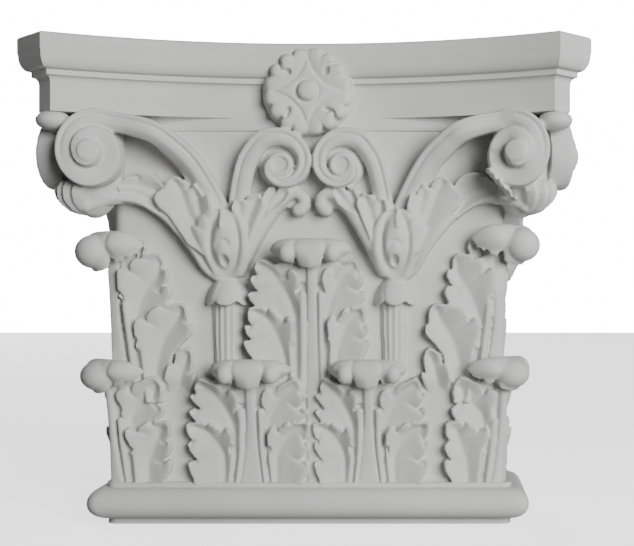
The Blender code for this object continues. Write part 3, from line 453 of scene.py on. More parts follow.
def bluntTip(lobe):
    # a shoulder between a lobe's tip and the notch behind it
    tip, notch = np.array(lobe[-2], float), np.array(lobe[-1], float)
    if np.hypot(*(notch - tip)) < relief["bluntFrom"]:
        return list(lobe)
    shoulder = tip + 0.3 * (notch - tip) + (0, relief["shoulder"])
    return list(lobe[:-1]) + [tuple(shoulder), lobe[-1]]


def outlineOf(group):
    # the whole outline, and its notches
    points = [np.array([group["foot"]], float)]
    notches = []
    last = None
    for lobe in group["lobes"]:
        through = bluntTip(lobe) if last is None else [last] + bluntTip(lobe)
        points.append(curveThrough(through, 5 * len(through))[: None if lobe is group["lobes"][-1] else -1])
        last = lobe[-1]
        notches.append(last)
    points.append(np.array(group["inside"], float))
    return np.vstack(points), notches[:-1]


def creases(a, z, notches, trough):
    # a fold that runs in from each notch towards the trough: the lobe below it stands in front
    fold = np.zeros(np.shape(a))
    path = curveThrough(trough, 60)
    for notch in notches:
        nearest = path[np.argmin(np.hypot(*(path - notch).T))]
        way = nearest - notch
        distance = np.hypot(*way)
        way = way / max(distance, 1e-6)
        length = min(relief["creaseLength"], 0.8 * distance)
        along = ((a - notch[0]) * way[0] + (z - notch[1]) * way[1]) / length
        off = (a - notch[0]) * way[1] - (z - notch[1]) * way[0]
        above = np.where(way[0] > 0, -off, off)
        side = np.where(above > 0, np.exp(-above / relief["creaseWidth"]), np.clip(1 + above, 0.0, 1.0))
        fold = np.maximum(fold, relief["creaseDepth"] * side * smooth(1.0, 0.2, along) * (along > -0.5))
    return fold


def leafHeight(a, z, leaf):
    # height of the carved face above the bell, groups laid from the back to the front
    inward, outward = leaf["narrowing"]
    a = np.where(a < 0, -a * inward, a * outward)
    top = leaf["top"]
    foot = bell["filletTop"]
    rise = np.clip((z - foot) / (top - foot), 0.0, 1.0) ** relief["leanPower"]
    lean = leaf["lean"] * rise * (1 - 0.3 * (a / leaf["reach"]) ** 2)
    height = np.full(np.shape(a), -detail["buried"] / 2)
    blank = taperDistance(a, z, (0, foot), (0, top), *leaf["blank"])
    inner, outer = relief["neckDrops"]
    neck = taperDistance(a, z, (0, top - inner), (leaf["neck"], top - outer), *relief["neckRadii"])
    height = np.where(blank < 0, lean + relief["floor"] * 0.6, height)
    if "bed" in leaf:
        bedTop, bedRise = leaf["bed"]
        height = np.where((blank < 0) & (z < bedTop), bedRise, height)
    height = np.where(neck < 0, np.maximum(height, lean + relief["neckRise"]), height)
    count = len(leaf["groups"])
    for place, group in enumerate(leaf["groups"]):
        outline, notches = outlineOf(group)
        inside = insideOutline(a, z, outline)
        trough = lineDistance(a, z, curveThrough(group["trough"], 40))
        depth = hullDepth(a, z, outline)
        share = trough / (trough + depth + 1e-6)
        face = relief["floor"] + (relief["edge"] - relief["floor"]) * share ** relief["power"]
        face = blurred(face, inside, relief["blur"]) - creases(a, z, notches, group["trough"])
        edge = lineDistance(a, z, np.vstack([outline, outline[:1]]))
        face -= relief["edgeRound"] * (1 - np.clip(edge / relief["edgeRound"], 0.0, 1.0)) ** 2
        if place:
            inner = lineDistance(a, z, group["inside"]) / relief["innerFall"]
            face -= (face + relief["step"]) * (1 - np.clip(inner, 0.0, 1.0)) ** 2
        if "fade" in group:
            face -= (face + lean + relief["edge"]) * (1 - smooth(*group["fade"], z))
        height = np.where(inside, lean + relief["step"] * place / max(count - 1, 1) + face, height)
        if place == count - 2:
            away = lineDistance(a, z, curveThrough(leaf["pipe"], 30)) / leaf["pipeWidth"]
            crest = np.sqrt(np.maximum(1 - away**2, 0.0))
            ridge = relief["floor"] + (relief["ridge"] - relief["floor"]) * crest
            height = np.where(away < 1, np.maximum(height, lean + ridge), height)
        if group["slit"]:
            start, end = group["slit"]
            slit = taperDistance(a, z, start, end, relief["slitWidth"], 0.45)
            deep = relief["slitDepth"] * np.clip(-slit / 0.4, 0.0, 1.0)
            height = np.where(slit < 0, np.maximum(height - deep, lean - 0.5), height)
    band = np.interp(z, *zip(*leaf["band"]))
    height = np.where((a < band) & (z < top), lean + leaf["bandRise"], height)
    groove = relief["grooveDepth"] * np.exp(-(((a - band) / relief["grooveWidth"]) ** 2))
    return np.where(z < top, height - groove, height)


def frontLeaf(name, leaf):
    a, z = lattice((-leaf["reach"], bell["filletTop"] - 1), (leaf["reach"], leaf["top"] + 12))
    out = bellReach(z)
    front = onFront(leaf["x"] + a, out + leafHeight(a, z, leaf), z)
    return slab(name, front, onFront(leaf["x"] + a, out - detail["buried"], z))


def roundArris(a, z, height):
    # a point beside the right arris, in front of it for a above 0 and on the side for a below
    round_ = bell["cornerRound"]
    side = bell["halfWidth"] + bellReach(z) - round_
    turn = np.clip(a / bell["arrisSpan"], -1.0, 1.0) * math.pi / 4 + math.pi / 4
    beyond = np.sign(a) * np.maximum(np.abs(a) - bell["arrisSpan"], 0.0)
    out = (round_ + height) / np.maximum(np.cos(turn), np.sin(turn)) ** 0.5
    x = side + out * np.cos(turn) - np.maximum(beyond, 0.0)
    reach = bellReach(z) - round_ + out * np.sin(turn) + np.minimum(beyond, 0.0)
    return onFront(x, reach, z)


def cornerLeaf(name, leaf):
    a, z = lattice((-leaf["reach"], bell["filletTop"] - 1), (leaf["reach"], leaf["top"] + 12))
    shallow = 1 - leaf["sideFall"] * smooth(0, -8, a)
    front = roundArris(a, z, leafHeight(a, z, leaf) * shallow)
    return slab(name, front, roundArris(a, z, np.full(np.shape(a), -float(detail["buried"]))))


# Curled tips: a sheet that bends over and hangs in three lobes, with drilled notches between them

curls = {
    "lower": {"halfWidth": 29.5, "top": 123.2, "edge": 101, "out": 19, "split": 0.33, "tip": 0,
              "edgePower": 1.35},
    "upper": {"halfWidth": 30, "top": 212, "edge": 189.5, "out": 19, "split": 0.33, "tip": 0,
              "edgePower": 1.35},
    "lowerCorner": {"halfWidth": 36, "top": 122.8, "edge": 97, "out": 18, "split": 0.40, "tip": 0.2,
                    "edgePower": 1.6, "knob": (9.5, 110.5, 14, 11.3)},
    "upperCorner": {"halfWidth": 36, "top": 218, "edge": 187, "out": 19, "split": 0.40, "tip": 0.2,
                    "edgePower": 1.6, "knob": (13, 202.5, 13.5, 12.5)},
}
curlSheet = {"thickness": 6.5, "startAngle": 165, "edgeAngle": -60, "endShare": 0.14, "rootShare": 0.45,
             "bendShare": 0.62, "topPower": 4.2, "notchAngle": 48, "notchWidth": 0.07, "swell": 5.5,
             "wrap": 0.45, "sway": 0.05}


def curl(name, shape, root, diagonal):
    u, v = np.meshgrid(np.linspace(-1, 1, 141), np.linspace(0, 1, 61))
    middle = (shape["top"] + shape["edge"]) / 2
    rise = (shape["top"] - shape["edge"]) / 2
    aim = math.pi / 4 if diagonal else 0.0
    split = shape["split"]
    outerLobe = (1 + split) / 2
    away = np.abs(u)
    notch = np.clip(1 - np.abs(away - split) / curlSheet["notchWidth"], 0.0, 1.0)
    outerNotch = np.clip(1 - np.abs(away - outerLobe) / curlSheet["notchWidth"], 0.0, 1.0)
    notch = np.maximum(notch, 0.6 * outerNotch * (shape["tip"] > 0))
    over = np.maximum(1 - away ** curlSheet["topPower"], 0.0) ** 0.7
    under = (1 - shape["tip"]) * np.maximum(1 - away ** shape["edgePower"], 0.0)
    under += shape["tip"] * smooth(split + 0.14, split - 0.10, away) * (1 - 0.45 * (away / split) ** 2)
    swayed = away + curlSheet["sway"] * np.sin(2 * math.pi * v)
    lobe = np.where(swayed < split, swayed / split, (swayed - outerLobe) / ((1 - split) / 2))
    full = np.sqrt(np.maximum(1 - np.abs(lobe) ** np.where(swayed < split, 6.0, 2.6), 0.0))
    wrap = curlSheet["wrap"] * away * diagonal
    end = curlSheet["edgeAngle"] + curlSheet["notchAngle"] * notch
    angle = np.radians(curlSheet["startAngle"] + (end - curlSheet["startAngle"]) * v)
    rising = np.sin(angle)
    blend = under + (over - under) * smooth(-0.6, 0.4, rising)
    share = curlSheet["endShare"] + (1 - curlSheet["endShare"]) * blend
    swell = curlSheet["swell"] * (full - 1) * smooth(0.25, 0.7, v)
    level = np.where(rising > 0, rising, rising / math.sin(-math.radians(curlSheet["edgeAngle"])))
    across = u * shape["halfWidth"]
    faces = []
    for thick in (0.0, curlSheet["thickness"]):
        swollen = 0.0 if thick else swell
        deep = np.maximum(shape["out"] * share + swollen - thick, 1.0)
        high = np.maximum(rise * share + 0.4 * swollen - thick, 1.0)
        forward = shape["out"] * curlSheet["rootShare"] * share
        forward = forward + deep * curlSheet["bendShare"] * np.cos(angle)
        z = middle + (1 - over) * rise * 0.2 + high * level
        x = root[0] + across * math.cos(aim) * (1 - wrap * (u > 0)) + forward * math.sin(aim)
        reach = root[1] - across * math.sin(aim) * (1 - wrap * (u < 0)) + forward * math.cos(aim)
        faces.append(onFront(x, reach, z))
    return slab(name, faces[0], faces[1])


eggs = {"across": 16.5, "reach": 13.5, "rise": 0.6, "radii": (6.2, 7.5, 7.2)}


def frontCurl(name, root):
    # a curl with a rounded lobe at each side
    shape = curls[name]
    parts = [curl(name + "Curl", shape, root, False)]
    for side in (-1, 1):
        centre = (root[0] + side * eggs["across"], root[1] + eggs["reach"],
                  (shape["top"] + shape["edge"]) / 2 + eggs["rise"])
        parts.append(ball(name + "Egg", centre, eggs["radii"]))
    return parts


def cornerCurl(name):
    shape = curls[name]
    out, z, across, up = shape["knob"]
    return [curl(name, shape, (bell["arris"] + 1, 1), True),
            ball(name + "Knob", (bell["arris"] + out, out, z), (across, across, up))]


# Scrolls: corner volutes and inner helices, bands that are swept along their outer edge

scrollWork = {"rim": 2.8, "edgeWidth": 0.9, "leadIn": -0.45, "leadSteps": 70, "turnSteps": 90, "clearance": 1,
              "across": 52, "grooveAt": 4.4, "grooveWidth": 0.9, "grooveDepth": 1.9, "fallFrom": 9.5,
              "fallWidth": 11.5, "fall": 14, "dip": 3.6}
volute = {
    "centre": (151, 273), "reach": 39, "slant": 0.27, "squash": 0.885, "radius": 32, "pitch": 14,
    "turns": 1.75, "thickness": 14, "rise": 6.6, "eye": 7.8, "stemWidth": 21,
    "stem": ((62, 225, 8), (63, 240, 11), (79, 270, 20), (94, 286, 28), (110, 296.5, 34.5)),
}
helix = {
    "centre": (22.5, 266), "reach": 20, "radius": 27.4, "pitch": 21.6, "turns": 0.86, "rise": 1,
    "eye": 8.8, "stemWidth": 15, "bandWidth": 14, "tailWidth": 4,
    "stem": ((62, 225, 7), (61, 238, 10), (58, 256, 14), (51, 276.5, 17.5)),
}


def bandProfile(across, stemShare, groove):
    # flat band with a crisp outer edge and a fine groove beside it; a stem falls away to its inner side
    face = scrollWork["rim"] * smooth(0.0, scrollWork["edgeWidth"], across)
    inner = np.clip((across - scrollWork["fallFrom"]) / scrollWork["fallWidth"], 0.0, 1.0)
    line = np.exp(-((across - scrollWork["grooveAt"]) / scrollWork["grooveWidth"]) ** 2) * groove
    return face - scrollWork["fall"] * stemShare * inner**1.4 - scrollWork["grooveDepth"] * line


def scrollPath(shape, turning, slant, squash):
    steps = int(shape["turns"] * scrollWork["turnSteps"])
    theta = np.linspace(scrollWork["leadIn"], 2 * math.pi * shape["turns"], steps)
    r = shape["radius"] - shape["pitch"] * theta / (2 * math.pi)
    across = turning * squash * r * np.sin(theta)
    level = shape["reach"] + slant * across + shape["rise"] * theta / (2 * math.pi)
    spiral = np.stack([shape["centre"][0] + across, shape["centre"][1] + r * np.cos(theta), level], axis=1)
    ahead = spiral[int(scrollWork["turnSteps"] * 0.15)]
    lead = curveThrough(list(shape["stem"]) + [spiral[0]], scrollWork["leadSteps"], beyond=ahead)[:-1]
    width = np.concatenate([np.full(len(lead), float(shape["pitch"])),
                            np.minimum(shape["pitch"], r - scrollWork["clearance"])])
    stemShare = np.concatenate([np.ones(len(lead)), smooth(1.2, 0.2, theta)])
    return np.vstack([lead, spiral]), width, stemShare, len(lead)


def scroll(name, path, stemWidth, backLead, thickness, grooveEnd):
    points, width, stemShare, lead = path
    width = width.copy()
    width[:lead] = np.linspace(stemWidth, width[lead], lead)
    step = np.gradient(points[:, :2], axis=0)
    step /= np.linalg.norm(step, axis=1)[:, None]
    inward = np.stack([step[:, 1], -step[:, 0]], axis=1)
    u = np.linspace(0, 1, scrollWork["across"])[None, :]
    x = points[:, 0:1] + inward[:, 0:1] * width[:, None] * u
    z = points[:, 1:2] + inward[:, 1:2] * width[:, None] * u
    share = np.arange(len(points)) / lead
    groove = smooth(0.05, 0.4, share) * smooth(grooveEnd, grooveEnd - 0.4, share)
    face = points[:, 2:3] + bandProfile(u * np.abs(width[:, None]), stemShare[:, None], groove[:, None])
    face = face - scrollWork["dip"] * smooth(0.76, 1.0, u) * (1 - stemShare[:, None])
    back = np.where(share < 1, backLead(points[:, 2], share), points[:, 2] - thickness)
    return slab(name, onFront(x, face, z), onFront(x, np.broadcast_to(back[:, None], x.shape), z))


def cornerVolute():
    path = scrollPath(volute, 1, volute["slant"], volute["squash"])
    buried = -detail["buried"]
    band = scroll("volute", path, volute["stemWidth"],
                  lambda reach, share: np.where(share < 0.8, buried, reach - volute["thickness"]),
                  volute["thickness"], 1.6)
    x, z = volute["centre"]
    level = volute["reach"] + volute["rise"] * volute["turns"] + scrollWork["rim"]
    eye = medallion("voluteEye", x, z, volute["eye"], volute["slant"],
                    lambda r: level - 0.6 * smooth(0.85, 1.0, r / volute["eye"]))
    return [band, eye]


def medallion(name, x, z, radius, slant, profile):
    # a round boss whose height is a function of the distance from its middle
    across, up = np.meshgrid(np.linspace(-radius, radius, 49), np.linspace(-radius, radius, 49))
    r = np.hypot(across, up)
    height = np.where(r < radius * 0.98, profile(r) + slant * across, 0.0)
    back = onFront(x + across, np.full(r.shape, -4.0), z + up)
    return slab(name, onFront(x + across, height, z + up), back)


def innerHelix():
    points, width, stemShare, lead = scrollPath(helix, -1, 0.0, 1.0)
    width[lead:] = np.linspace(helix["bandWidth"], helix["tailWidth"], len(width) - lead)
    buried = -detail["buried"]
    band = scroll("helix", (points, -width, stemShare, lead), -helix["stemWidth"],
                  lambda reach, share: np.full(np.shape(reach), float(buried)), helix["reach"] - buried, 2.0)
    x, z = helix["centre"]
    filling = 0.62 * helix["radius"]
    eye = medallion("helixEye", x, z, helix["eye"] + 0.8, 0.0,
                    lambda r: helix["reach"] + 3.4 - 1.8 * smooth(6.2, 5.4, r) - 1.6 * smooth(7.8, 9.4, r))
    back = ball("helixBack", (x, helix["reach"] / 4, z), (filling, 0.62 * helix["reach"], filling))
    return [band, eye, back]


# Calyx: cup, leafy sprays, husk and pearl, drawn as distances outwards from its middle

calyx = {
    "x": 64, "stretch": 1.025, "foot": 180, "top": 268, "innerSpan": 66,
    "reach": ((-70, 13), (-20, 15), (0, 16), (24, 12.5), (50, 11), (66, 13), (84, 20), (102, 27)),
    "stalk": ((-4, 182.6), (4, 182.4), (11, 186), (16, 191.5), (20, 199), (24, 205), (29.2, 211.9),
              (35.7, 219.3), (41.5, 225.8), (48, 230.8), (54.5, 235.3), (60.9, 238.7), (67.3, 240.6),
              (74.5, 241.3), (81, 240.8), (88, 239.4), (95, 237), (99.5, 234.4)),
    "stalkRadius": 2.7,
    "innerArm": (((-14, 196), 5), ((-21, 210), 5.5), ((-28, 222), 5.5), ((-36, 233), 5), ((-42, 239.6), 4.7),
                 ((-48, 244.6), 4.4), ((-54.5, 245.8), 4.3), ((-59.4, 242), 4.3), ((-59.6, 237.4), 4.4),
                 ((-56.4, 233.8), 4.8), ((-55, 233.2), 4.7)),
    "web": ((-18, 226), (-26, 246), (-38, 254), (-50, 250), (-56, 240), (-50, 235), (-40, 234), (-30, 226)),
    "webFall": 6.5,
    "cup": ((4.7, 180.5), (10.6, 183.1), (15.3, 187.9), (18.5, 195), (22, 204), (30, 214), (14, 224),
            (-14, 224), (-26.5, 218), (-23, 205.7), (-14.5, 190), (-4, 181)),
    "wall": 3.6,
}
sprayRelief = {"floor": -4.4, "rise": 6.8, "power": 0.8, "edgeRound": 1.2}
sprays = (
    {
        "lobes": (
            ((75.5, 243.9), (73.8, 245.2)),
            ((76.8, 247.1), (76.8, 249.1)),
            ((78, 251), (75.1, 253.6), (72.5, 255.5), (70, 257.5), (66.1, 258.1), (62.2, 256.6)),
            ((65.4, 259.4), (61.6, 261.4), (53.8, 260.1), (46, 254)),
        ),
        "foot": (64, 241), "inside": ((38, 240), (42, 228)),
        "troughs": (((74.5, 251.7), (68, 252.3), (61.6, 251.3), (55.1, 249.1), (48.6, 245.8), (42, 240)),
                    ((74, 246.4), (67, 246), (60.5, 244.2), (54, 240), (47, 234))),
        "lift": 0.2,
    },
    {
        "lobes": (
            ((40.8, 229.3), (48.6, 236.1), (51.2, 242), (50.5, 243.2), (46, 248.4)),
            ((44.7, 249.6), (42.1, 253.6), (36.3, 258.1), (32.4, 256.8), (28.5, 253.6), (25.3, 249.1)),
            ((24.5, 250), (20.8, 252.3), (16.9, 247.8), (14.6, 243.2)),
            ((13.5, 243.6), (10.4, 244.2), (8.5, 238.7), (7.8, 233.5)),
        ),
        "foot": (26, 208), "inside": ((7, 215), (12, 198)),
        "troughs": (((35.7, 254), (31.8, 248), (28.5, 239), (26, 231), (22, 224.5), (16, 210)),
                    ((20.8, 247), (18.8, 238.7), (17.5, 231))),
        "lift": 2.4,
    },
    {
        "lobes": (
            ((-26, 236), (-30, 244.5), (-34, 249.6), (-37.4, 250.4), (-38.3, 246.2)),
            ((-43, 250), (-48.3, 248.3), (-50, 245)),
        ),
        "foot": (-20, 226), "inside": ((-46, 237), (-40.8, 233.7), (-32.4, 228.7)),
        "troughs": (((-36, 247), (-33, 240), (-28, 231)), ((-46, 246), (-42, 241), (-36, 235))),
        "lift": 0.6,
    },
    {
        "lobes": (
            ((-6, 230), (-7, 236), (-9, 240.6), (-12.3, 241.6), (-16.1, 240.4)),
            ((-19, 243.6), (-24.9, 245.3), (-27.6, 244.9), (-28.2, 242)),
            ((-30.5, 241), (-31, 236)),
        ),
        "foot": (-7, 214), "inside": ((-27, 226), (-20, 210)),
        "troughs": (((-24.5, 242), (-21.5, 234), (-17, 221), (-13, 208)), ((-12, 238), (-12.4, 230))),
        "lift": 2.0,
    },
)
husk = {
    "lobes": (
        ((15.5, 202.5), (18.5, 208.8), (22.4, 215), (24, 219.8), (22.4, 221.4), (18.5, 220.2)),
        ((19.3, 223.8), (18.1, 227.4), (15.3, 229.3), (13, 228.5)),
        ((9, 232.6), (0, 234.5), (-9, 231), (-15, 226)),
    ),
    "foot": (8, 184),
    "inside": ((-19, 218), (-20, 208), (-19.4, 198.1), (-17.1, 190.2), (-13.1, 184.3), (-4, 182)),
    "lift": 4.0, "belly": 3.0, "bellyWidth": 6.0,
    "ring": ((-1.25, 209.5), 10.2, 21.5), "ringWidth": 0.22, "ringDepth": 4.0, "egg": 2.0,
    "ridge": ((0.7, 236), (0.7, 221)), "ridgeWidth": 1.9, "ridgeHeight": 3.2,
    "step": ((-7, 206.4), (-4.4, 210.4), (-0.9, 212.3), (2.7, 210.4), (5.5, 208.4)), "stepDepth": 3.0,
    "pit": (-1.3, 196), "pitRadii": (3.1, 4.4), "pitDepth": 5.0, "edgeRound": 1.2,
}


def calyxArms(out, z, face, height):
    # thin stalk along the outer spray, and the inner arm with its hooked end
    away = lineDistance(out, z, curveThrough(calyx["stalk"], 90)) / calyx["stalkRadius"]
    tube = face + 1.5 - 1.6 * calyx["stalkRadius"] * (1 - np.sqrt(np.maximum(1 - away**2, 0.0)))
    height = np.where(away < 1, np.maximum(height, tube), height)
    for (start, startRadius), (end, endRadius) in zip(calyx["innerArm"], calyx["innerArm"][1:]):
        inside = -taperDistance(out, z, start, end, startRadius, endRadius) / max(startRadius, endRadius)
        tube = face + 1.0 - 4.5 * (1 - np.sqrt(np.clip(1 - (1 - inside) ** 2, 0.0, 1.0)))
        height = np.where(inside > 0, np.maximum(height, tube), height)
    return height


def sprayLeaf(out, z, leaf, face, height):
    outline, notches = outlineOf(leaf)
    inside = insideOutline(out, z, outline)
    trough = np.minimum.reduce([lineDistance(out, z, curveThrough(line, 30)) for line in leaf["troughs"]])
    share = trough / (trough + hullDepth(out, z, outline) + 1e-6)
    raised = face + leaf["lift"] + sprayRelief["floor"] + sprayRelief["rise"] * share ** sprayRelief["power"]
    raised = blurred(raised, inside, 2)
    raised -= creases(out, z, notches, leaf["troughs"][0])
    edge = lineDistance(out, z, np.vstack([outline, outline[:1]]))
    raised -= sprayRelief["edgeRound"] * (1 - np.clip(edge / sprayRelief["edgeRound"], 0.0, 1.0)) ** 2
    return np.where(inside, raised, height)


def huskHeight(out, z, face, height):
    # egg in a ring valley, with a ridge over its top, a small step across it and a drilled pit
    outline, notches = outlineOf(husk)
    inside = insideOutline(out, z, outline)
    (middle, level), across, up = husk["ring"]
    ring = np.hypot((out - middle) / across, (z - level) / up)
    depth = hullDepth(out, z, outline) / husk["bellyWidth"]
    raised = face + husk["lift"] - husk["belly"] * (1 - np.clip(depth, 0.0, 1.0)) ** 2
    raised -= husk["ringDepth"] * np.exp(-((ring - 1) / husk["ringWidth"]) ** 2)
    raised += husk["egg"] * np.maximum(1 - ring**2, 0.0)
    ridge = lineDistance(out, z, husk["ridge"]) / husk["ridgeWidth"]
    raised += husk["ridgeHeight"] * np.clip(1 - ridge**2, 0.0, 1.0)
    step = np.array(husk["step"], float)
    below = np.interp(out, step[:, 0], step[:, 1]) - z
    within = (out > step[0, 0]) & (out < step[-1, 0]) & (below > 0)
    raised -= husk["stepDepth"] * np.where(within, np.exp(-np.maximum(below, 0.0) / 3.5), 0.0)
    folds = creases(out, z, notches, ((middle, level), (middle, level - 5)))
    raised = blurred(raised, inside, 1) - 0.7 * folds
    pit = np.hypot((out - husk["pit"][0]) / husk["pitRadii"][0], (z - husk["pit"][1]) / husk["pitRadii"][1])
    raised -= husk["pitDepth"] * np.sqrt(np.maximum(1 - pit**2, 0.0))
    edge = lineDistance(out, z, np.vstack([outline, outline[:1]]))
    raised -= husk["edgeRound"] * (1 - np.clip(edge / husk["edgeRound"], 0.0, 1.0)) ** 2
    return np.where(inside, raised, height)


def calyxHeight(x, z):
    out = (x - calyx["x"]) * calyx["stretch"]
    opening = smooth(calyx["foot"], calyx["foot"] + 26, z)
    face = np.interp(out, *zip(*calyx["reach"])) * (0.42 + 0.58 * opening)
    height = np.full(np.shape(x), -detail["buried"] / 2)
    cup = np.array(calyx["cup"], float)
    edge = lineDistance(out, z, np.vstack([cup, cup[:1]]))
    rounded = face - calyx["wall"] * 1.4 * (1 - np.clip(edge / calyx["wall"], 0.0, 1.0)) ** 2
    height = np.where(insideOutline(out, z, cup), rounded, height)
    web = np.array(calyx["web"], float)
    height = np.where(insideOutline(out, z, web), np.maximum(height, face - calyx["webFall"]), height)
    height = calyxArms(out, z, face, height)
    for leaf in sprays:
        height = sprayLeaf(out, z, leaf, face, height)
    return huskHeight(out, z, face, height)


def calyxParts():
    x, z = lattice((calyx["x"] - calyx["innerSpan"], calyx["foot"] - 6), (bell["halfWidth"], calyx["top"]))
    out = bellReach(z)
    parts = [slab("calyx", onFront(x, out + calyxHeight(x, z), z), onFront(x, out - detail["buried"], z))]
    stalk = curveThrough(calyx["stalk"], 90)
    radius = calyx["stalkRadius"] + 1.5
    for out, z in stalk[calyx["x"] + stalk[:, 0] / calyx["stretch"] > bell["halfWidth"] - 6][::2]:
        x = calyx["x"] + out / calyx["stretch"]
        reach = np.interp(out, *zip(*calyx["reach"]))
        parts.append(ball("stalkEnd", (x, reach - 1, z), (radius,) * 3))
    return parts


# Fluted stem below each calyx, with a cap of three hanging lobes

stem = {"x": 62.5, "foot": 96, "top": 166, "footRadius": 10, "topRadius": 11.5, "flutes": 7,
        "fluteDepth": 2.0, "bulge": 0.65, "capTop": 182, "capRadius": 15.8, "capLobes": 3, "capHang": 3.5,
        "capTaper": 0.78, "capCrease": 0.9}


def flutedStem():
    u, v = np.meshgrid(np.linspace(0, 1, 97), np.linspace(0, 1, 60))
    angle = math.pi * u
    z = stem["foot"] + v * (stem["top"] - stem["foot"])
    radius = stem["footRadius"] + (stem["topRadius"] - stem["footRadius"]) * v
    radius = radius - stem["fluteDepth"] * np.abs(np.cos(stem["flutes"] * angle)) ** 2
    x = stem["x"] - np.cos(angle) * radius
    out = bellReach(z)
    front = onFront(x, out + stem["bulge"] * np.sin(angle) * radius, z)
    shaft = slab("stem", front, onFront(x, out - detail["buried"], z))
    hang = stem["capHang"] * np.abs(np.sin(stem["capLobes"] * angle))
    z = stem["top"] - hang + v * (stem["capTop"] - stem["top"] + hang)
    crease = np.clip(1 - np.abs(np.sin(stem["capLobes"] * (angle + 0.25 * v))) / 0.22, 0.0, 1.0)
    radius = stem["capRadius"] * np.sqrt(1 - stem["capTaper"] * v**2) - stem["capCrease"] * crease
    x = stem["x"] - np.cos(angle) * radius
    out = bellReach(z)
    cap = slab("stemCap", onFront(x, out + np.sin(angle) * radius, z), onFront(x, out - detail["buried"], z))
    return [shaft, cap]


# Masses on the corner's diagonal, from the arris: out, height, and radii across and up

cornerForms = {
    "cornerMass": (12, 272, 22, 45),
    "pad": (35.5, 296.2, 12.5, 7.4),
}
palmette = {"path": ((32, 253), (34, 246), (33, 240), (30, 235), (26, 231), (21, 229)),
            "halfWidth": (15, 16, 13, 10, 7, 5), "folds": 2.5, "foldDepth": 2.4, "bow": 6}


def palmetteSolid():
    # folded fan below the volutes, across the corner's diagonal
    u, v = np.meshgrid(np.linspace(-1, 1, 61), np.linspace(0, 1, 49))
    path = curveThrough(palmette["path"], 49)
    width = np.interp(v, np.linspace(0, 1, len(palmette["halfWidth"])), palmette["halfWidth"])
    folds = palmette["foldDepth"] * np.abs(np.sin(palmette["folds"] * math.pi * u))
    out = path[:, 0:1] - palmette["bow"] * u**2 - folds
    z = np.broadcast_to(path[:, 1:2], u.shape)
    along = u * width * math.sqrt(0.5)
    front = onFront(bell["arris"] + out + along, out - along, z)
    return slab("palmette", front, onFront(bell["arris"] - 2 + along * 0.5, -2 - along * 0.5, z + 12))


def cornerParts():
    parts = [palmetteSolid()]
    for name, (out, z, across, up) in cornerForms.items():
        parts.append(ball(name, (bell["arris"] + out, out, z), (across, across, up)))
    return parts


# Rosette on the middle of the abacus: four petals with drilled eyes round a hollow star and a button

rosette = {
    "x": 0.5, "z": 320.3, "radius": 32.5, "backWidth": 34.5, "backHeight": 32, "reach": 21, "backReach": 13,
    "lobes": 8, "notch": 4.6, "circleAt": 43.4, "circleRadius": 30.8, "incision": 1.7, "crown": 2.6,
    "button": 7.5, "buttonRise": 4.5, "eye": 19.5, "eyeRadius": 2.2,
    "petals": (45, 135, 225, 315), "slitBend": 7, "slitMiddle": 24, "slitEnd": 30, "slitDepth": 5.0,
}


def rosetteSolid():
    wide = rosette["backWidth"] + 1
    x, z = lattice((rosette["x"] - wide, rosette["z"] - wide), (rosette["x"] + wide, abacus["top"] - 1))
    across, up = x - rosette["x"], z - rosette["z"]
    r = np.hypot(across, up)
    angle = np.arctan2(up, across)
    tips = np.abs(np.cos(2 * angle)) ** 12
    notch = (1 - np.abs(np.sin(rosette["lobes"] * angle)) ** 0.6) * (1 - 0.6 * tips)
    outline = rosette["radius"] - rosette["notch"] * notch
    edge = outline - r
    petal = np.full(x.shape, -np.inf)
    for turn in rosette["petals"]:
        aim = math.radians(turn)
        centre = (rosette["circleAt"] * math.cos(aim), rosette["circleAt"] * math.sin(aim))
        petal = np.maximum(petal, rosette["circleRadius"] - np.hypot(across - centre[0], up - centre[1]))
    face = rosette["reach"] + rosette["crown"] * smooth(-2, 16, petal) - 0.8 * smooth(-0.3, 0.3, petal)
    face -= rosette["incision"] * np.exp(-((petal / 0.7) ** 2)) * smooth(31, 24, r)
    face -= 1.6 * np.clip(notch - 0.35, 0.0, 1.0) * smooth(18, 30, r)
    face -= 3.5 * (1 - np.clip(edge / 5.0, 0.0, 1.0)) ** 2
    for turn in rosette["petals"]:
        aim = math.radians(turn)
        bend = math.radians(turn + rosette["slitBend"])
        eye = (rosette["eye"] * math.cos(aim), rosette["eye"] * math.sin(aim))
        middle = (rosette["slitMiddle"] * math.cos(bend), rosette["slitMiddle"] * math.sin(bend))
        rim = (rosette["slitEnd"] * math.cos(aim), rosette["slitEnd"] * math.sin(aim))
        slit = np.minimum(taperDistance(across, up, eye, middle, rosette["eyeRadius"], 0.9),
                          taperDistance(across, up, middle, rim, 0.9, 1.2))
        face = np.where(slit < 0, face - rosette["slitDepth"] * np.clip(-slit / 0.5, 0.0, 1.0), face)
    button = r / rosette["button"]
    face = np.where(np.abs(button - 1.12) < 0.13, face - 1.2, face)
    raised = rosette["buttonRise"] * np.maximum(1 - button**4, 0.0) ** 0.5
    face = np.where(button < 1, rosette["reach"] + raised - 0.5, face)
    back = 1 - np.hypot(across / rosette["backWidth"], up / rosette["backHeight"])
    lobed = rosette["backReach"] - 3.0 * (1 - np.clip(back / 0.10, 0.0, 1.0)) ** 2
    height = np.where(edge > 0, face, np.where(back > 0, lobed, -2.0))
    return slab("rosette", onFront(x, height, z), onFront(x, np.full(x.shape, -6.0), z))


castFlash = {"from": (132, 260, 40), "to": (153, 237.5, 36), "bumps": 15, "radius": 1.3, "jitter": 1.2}


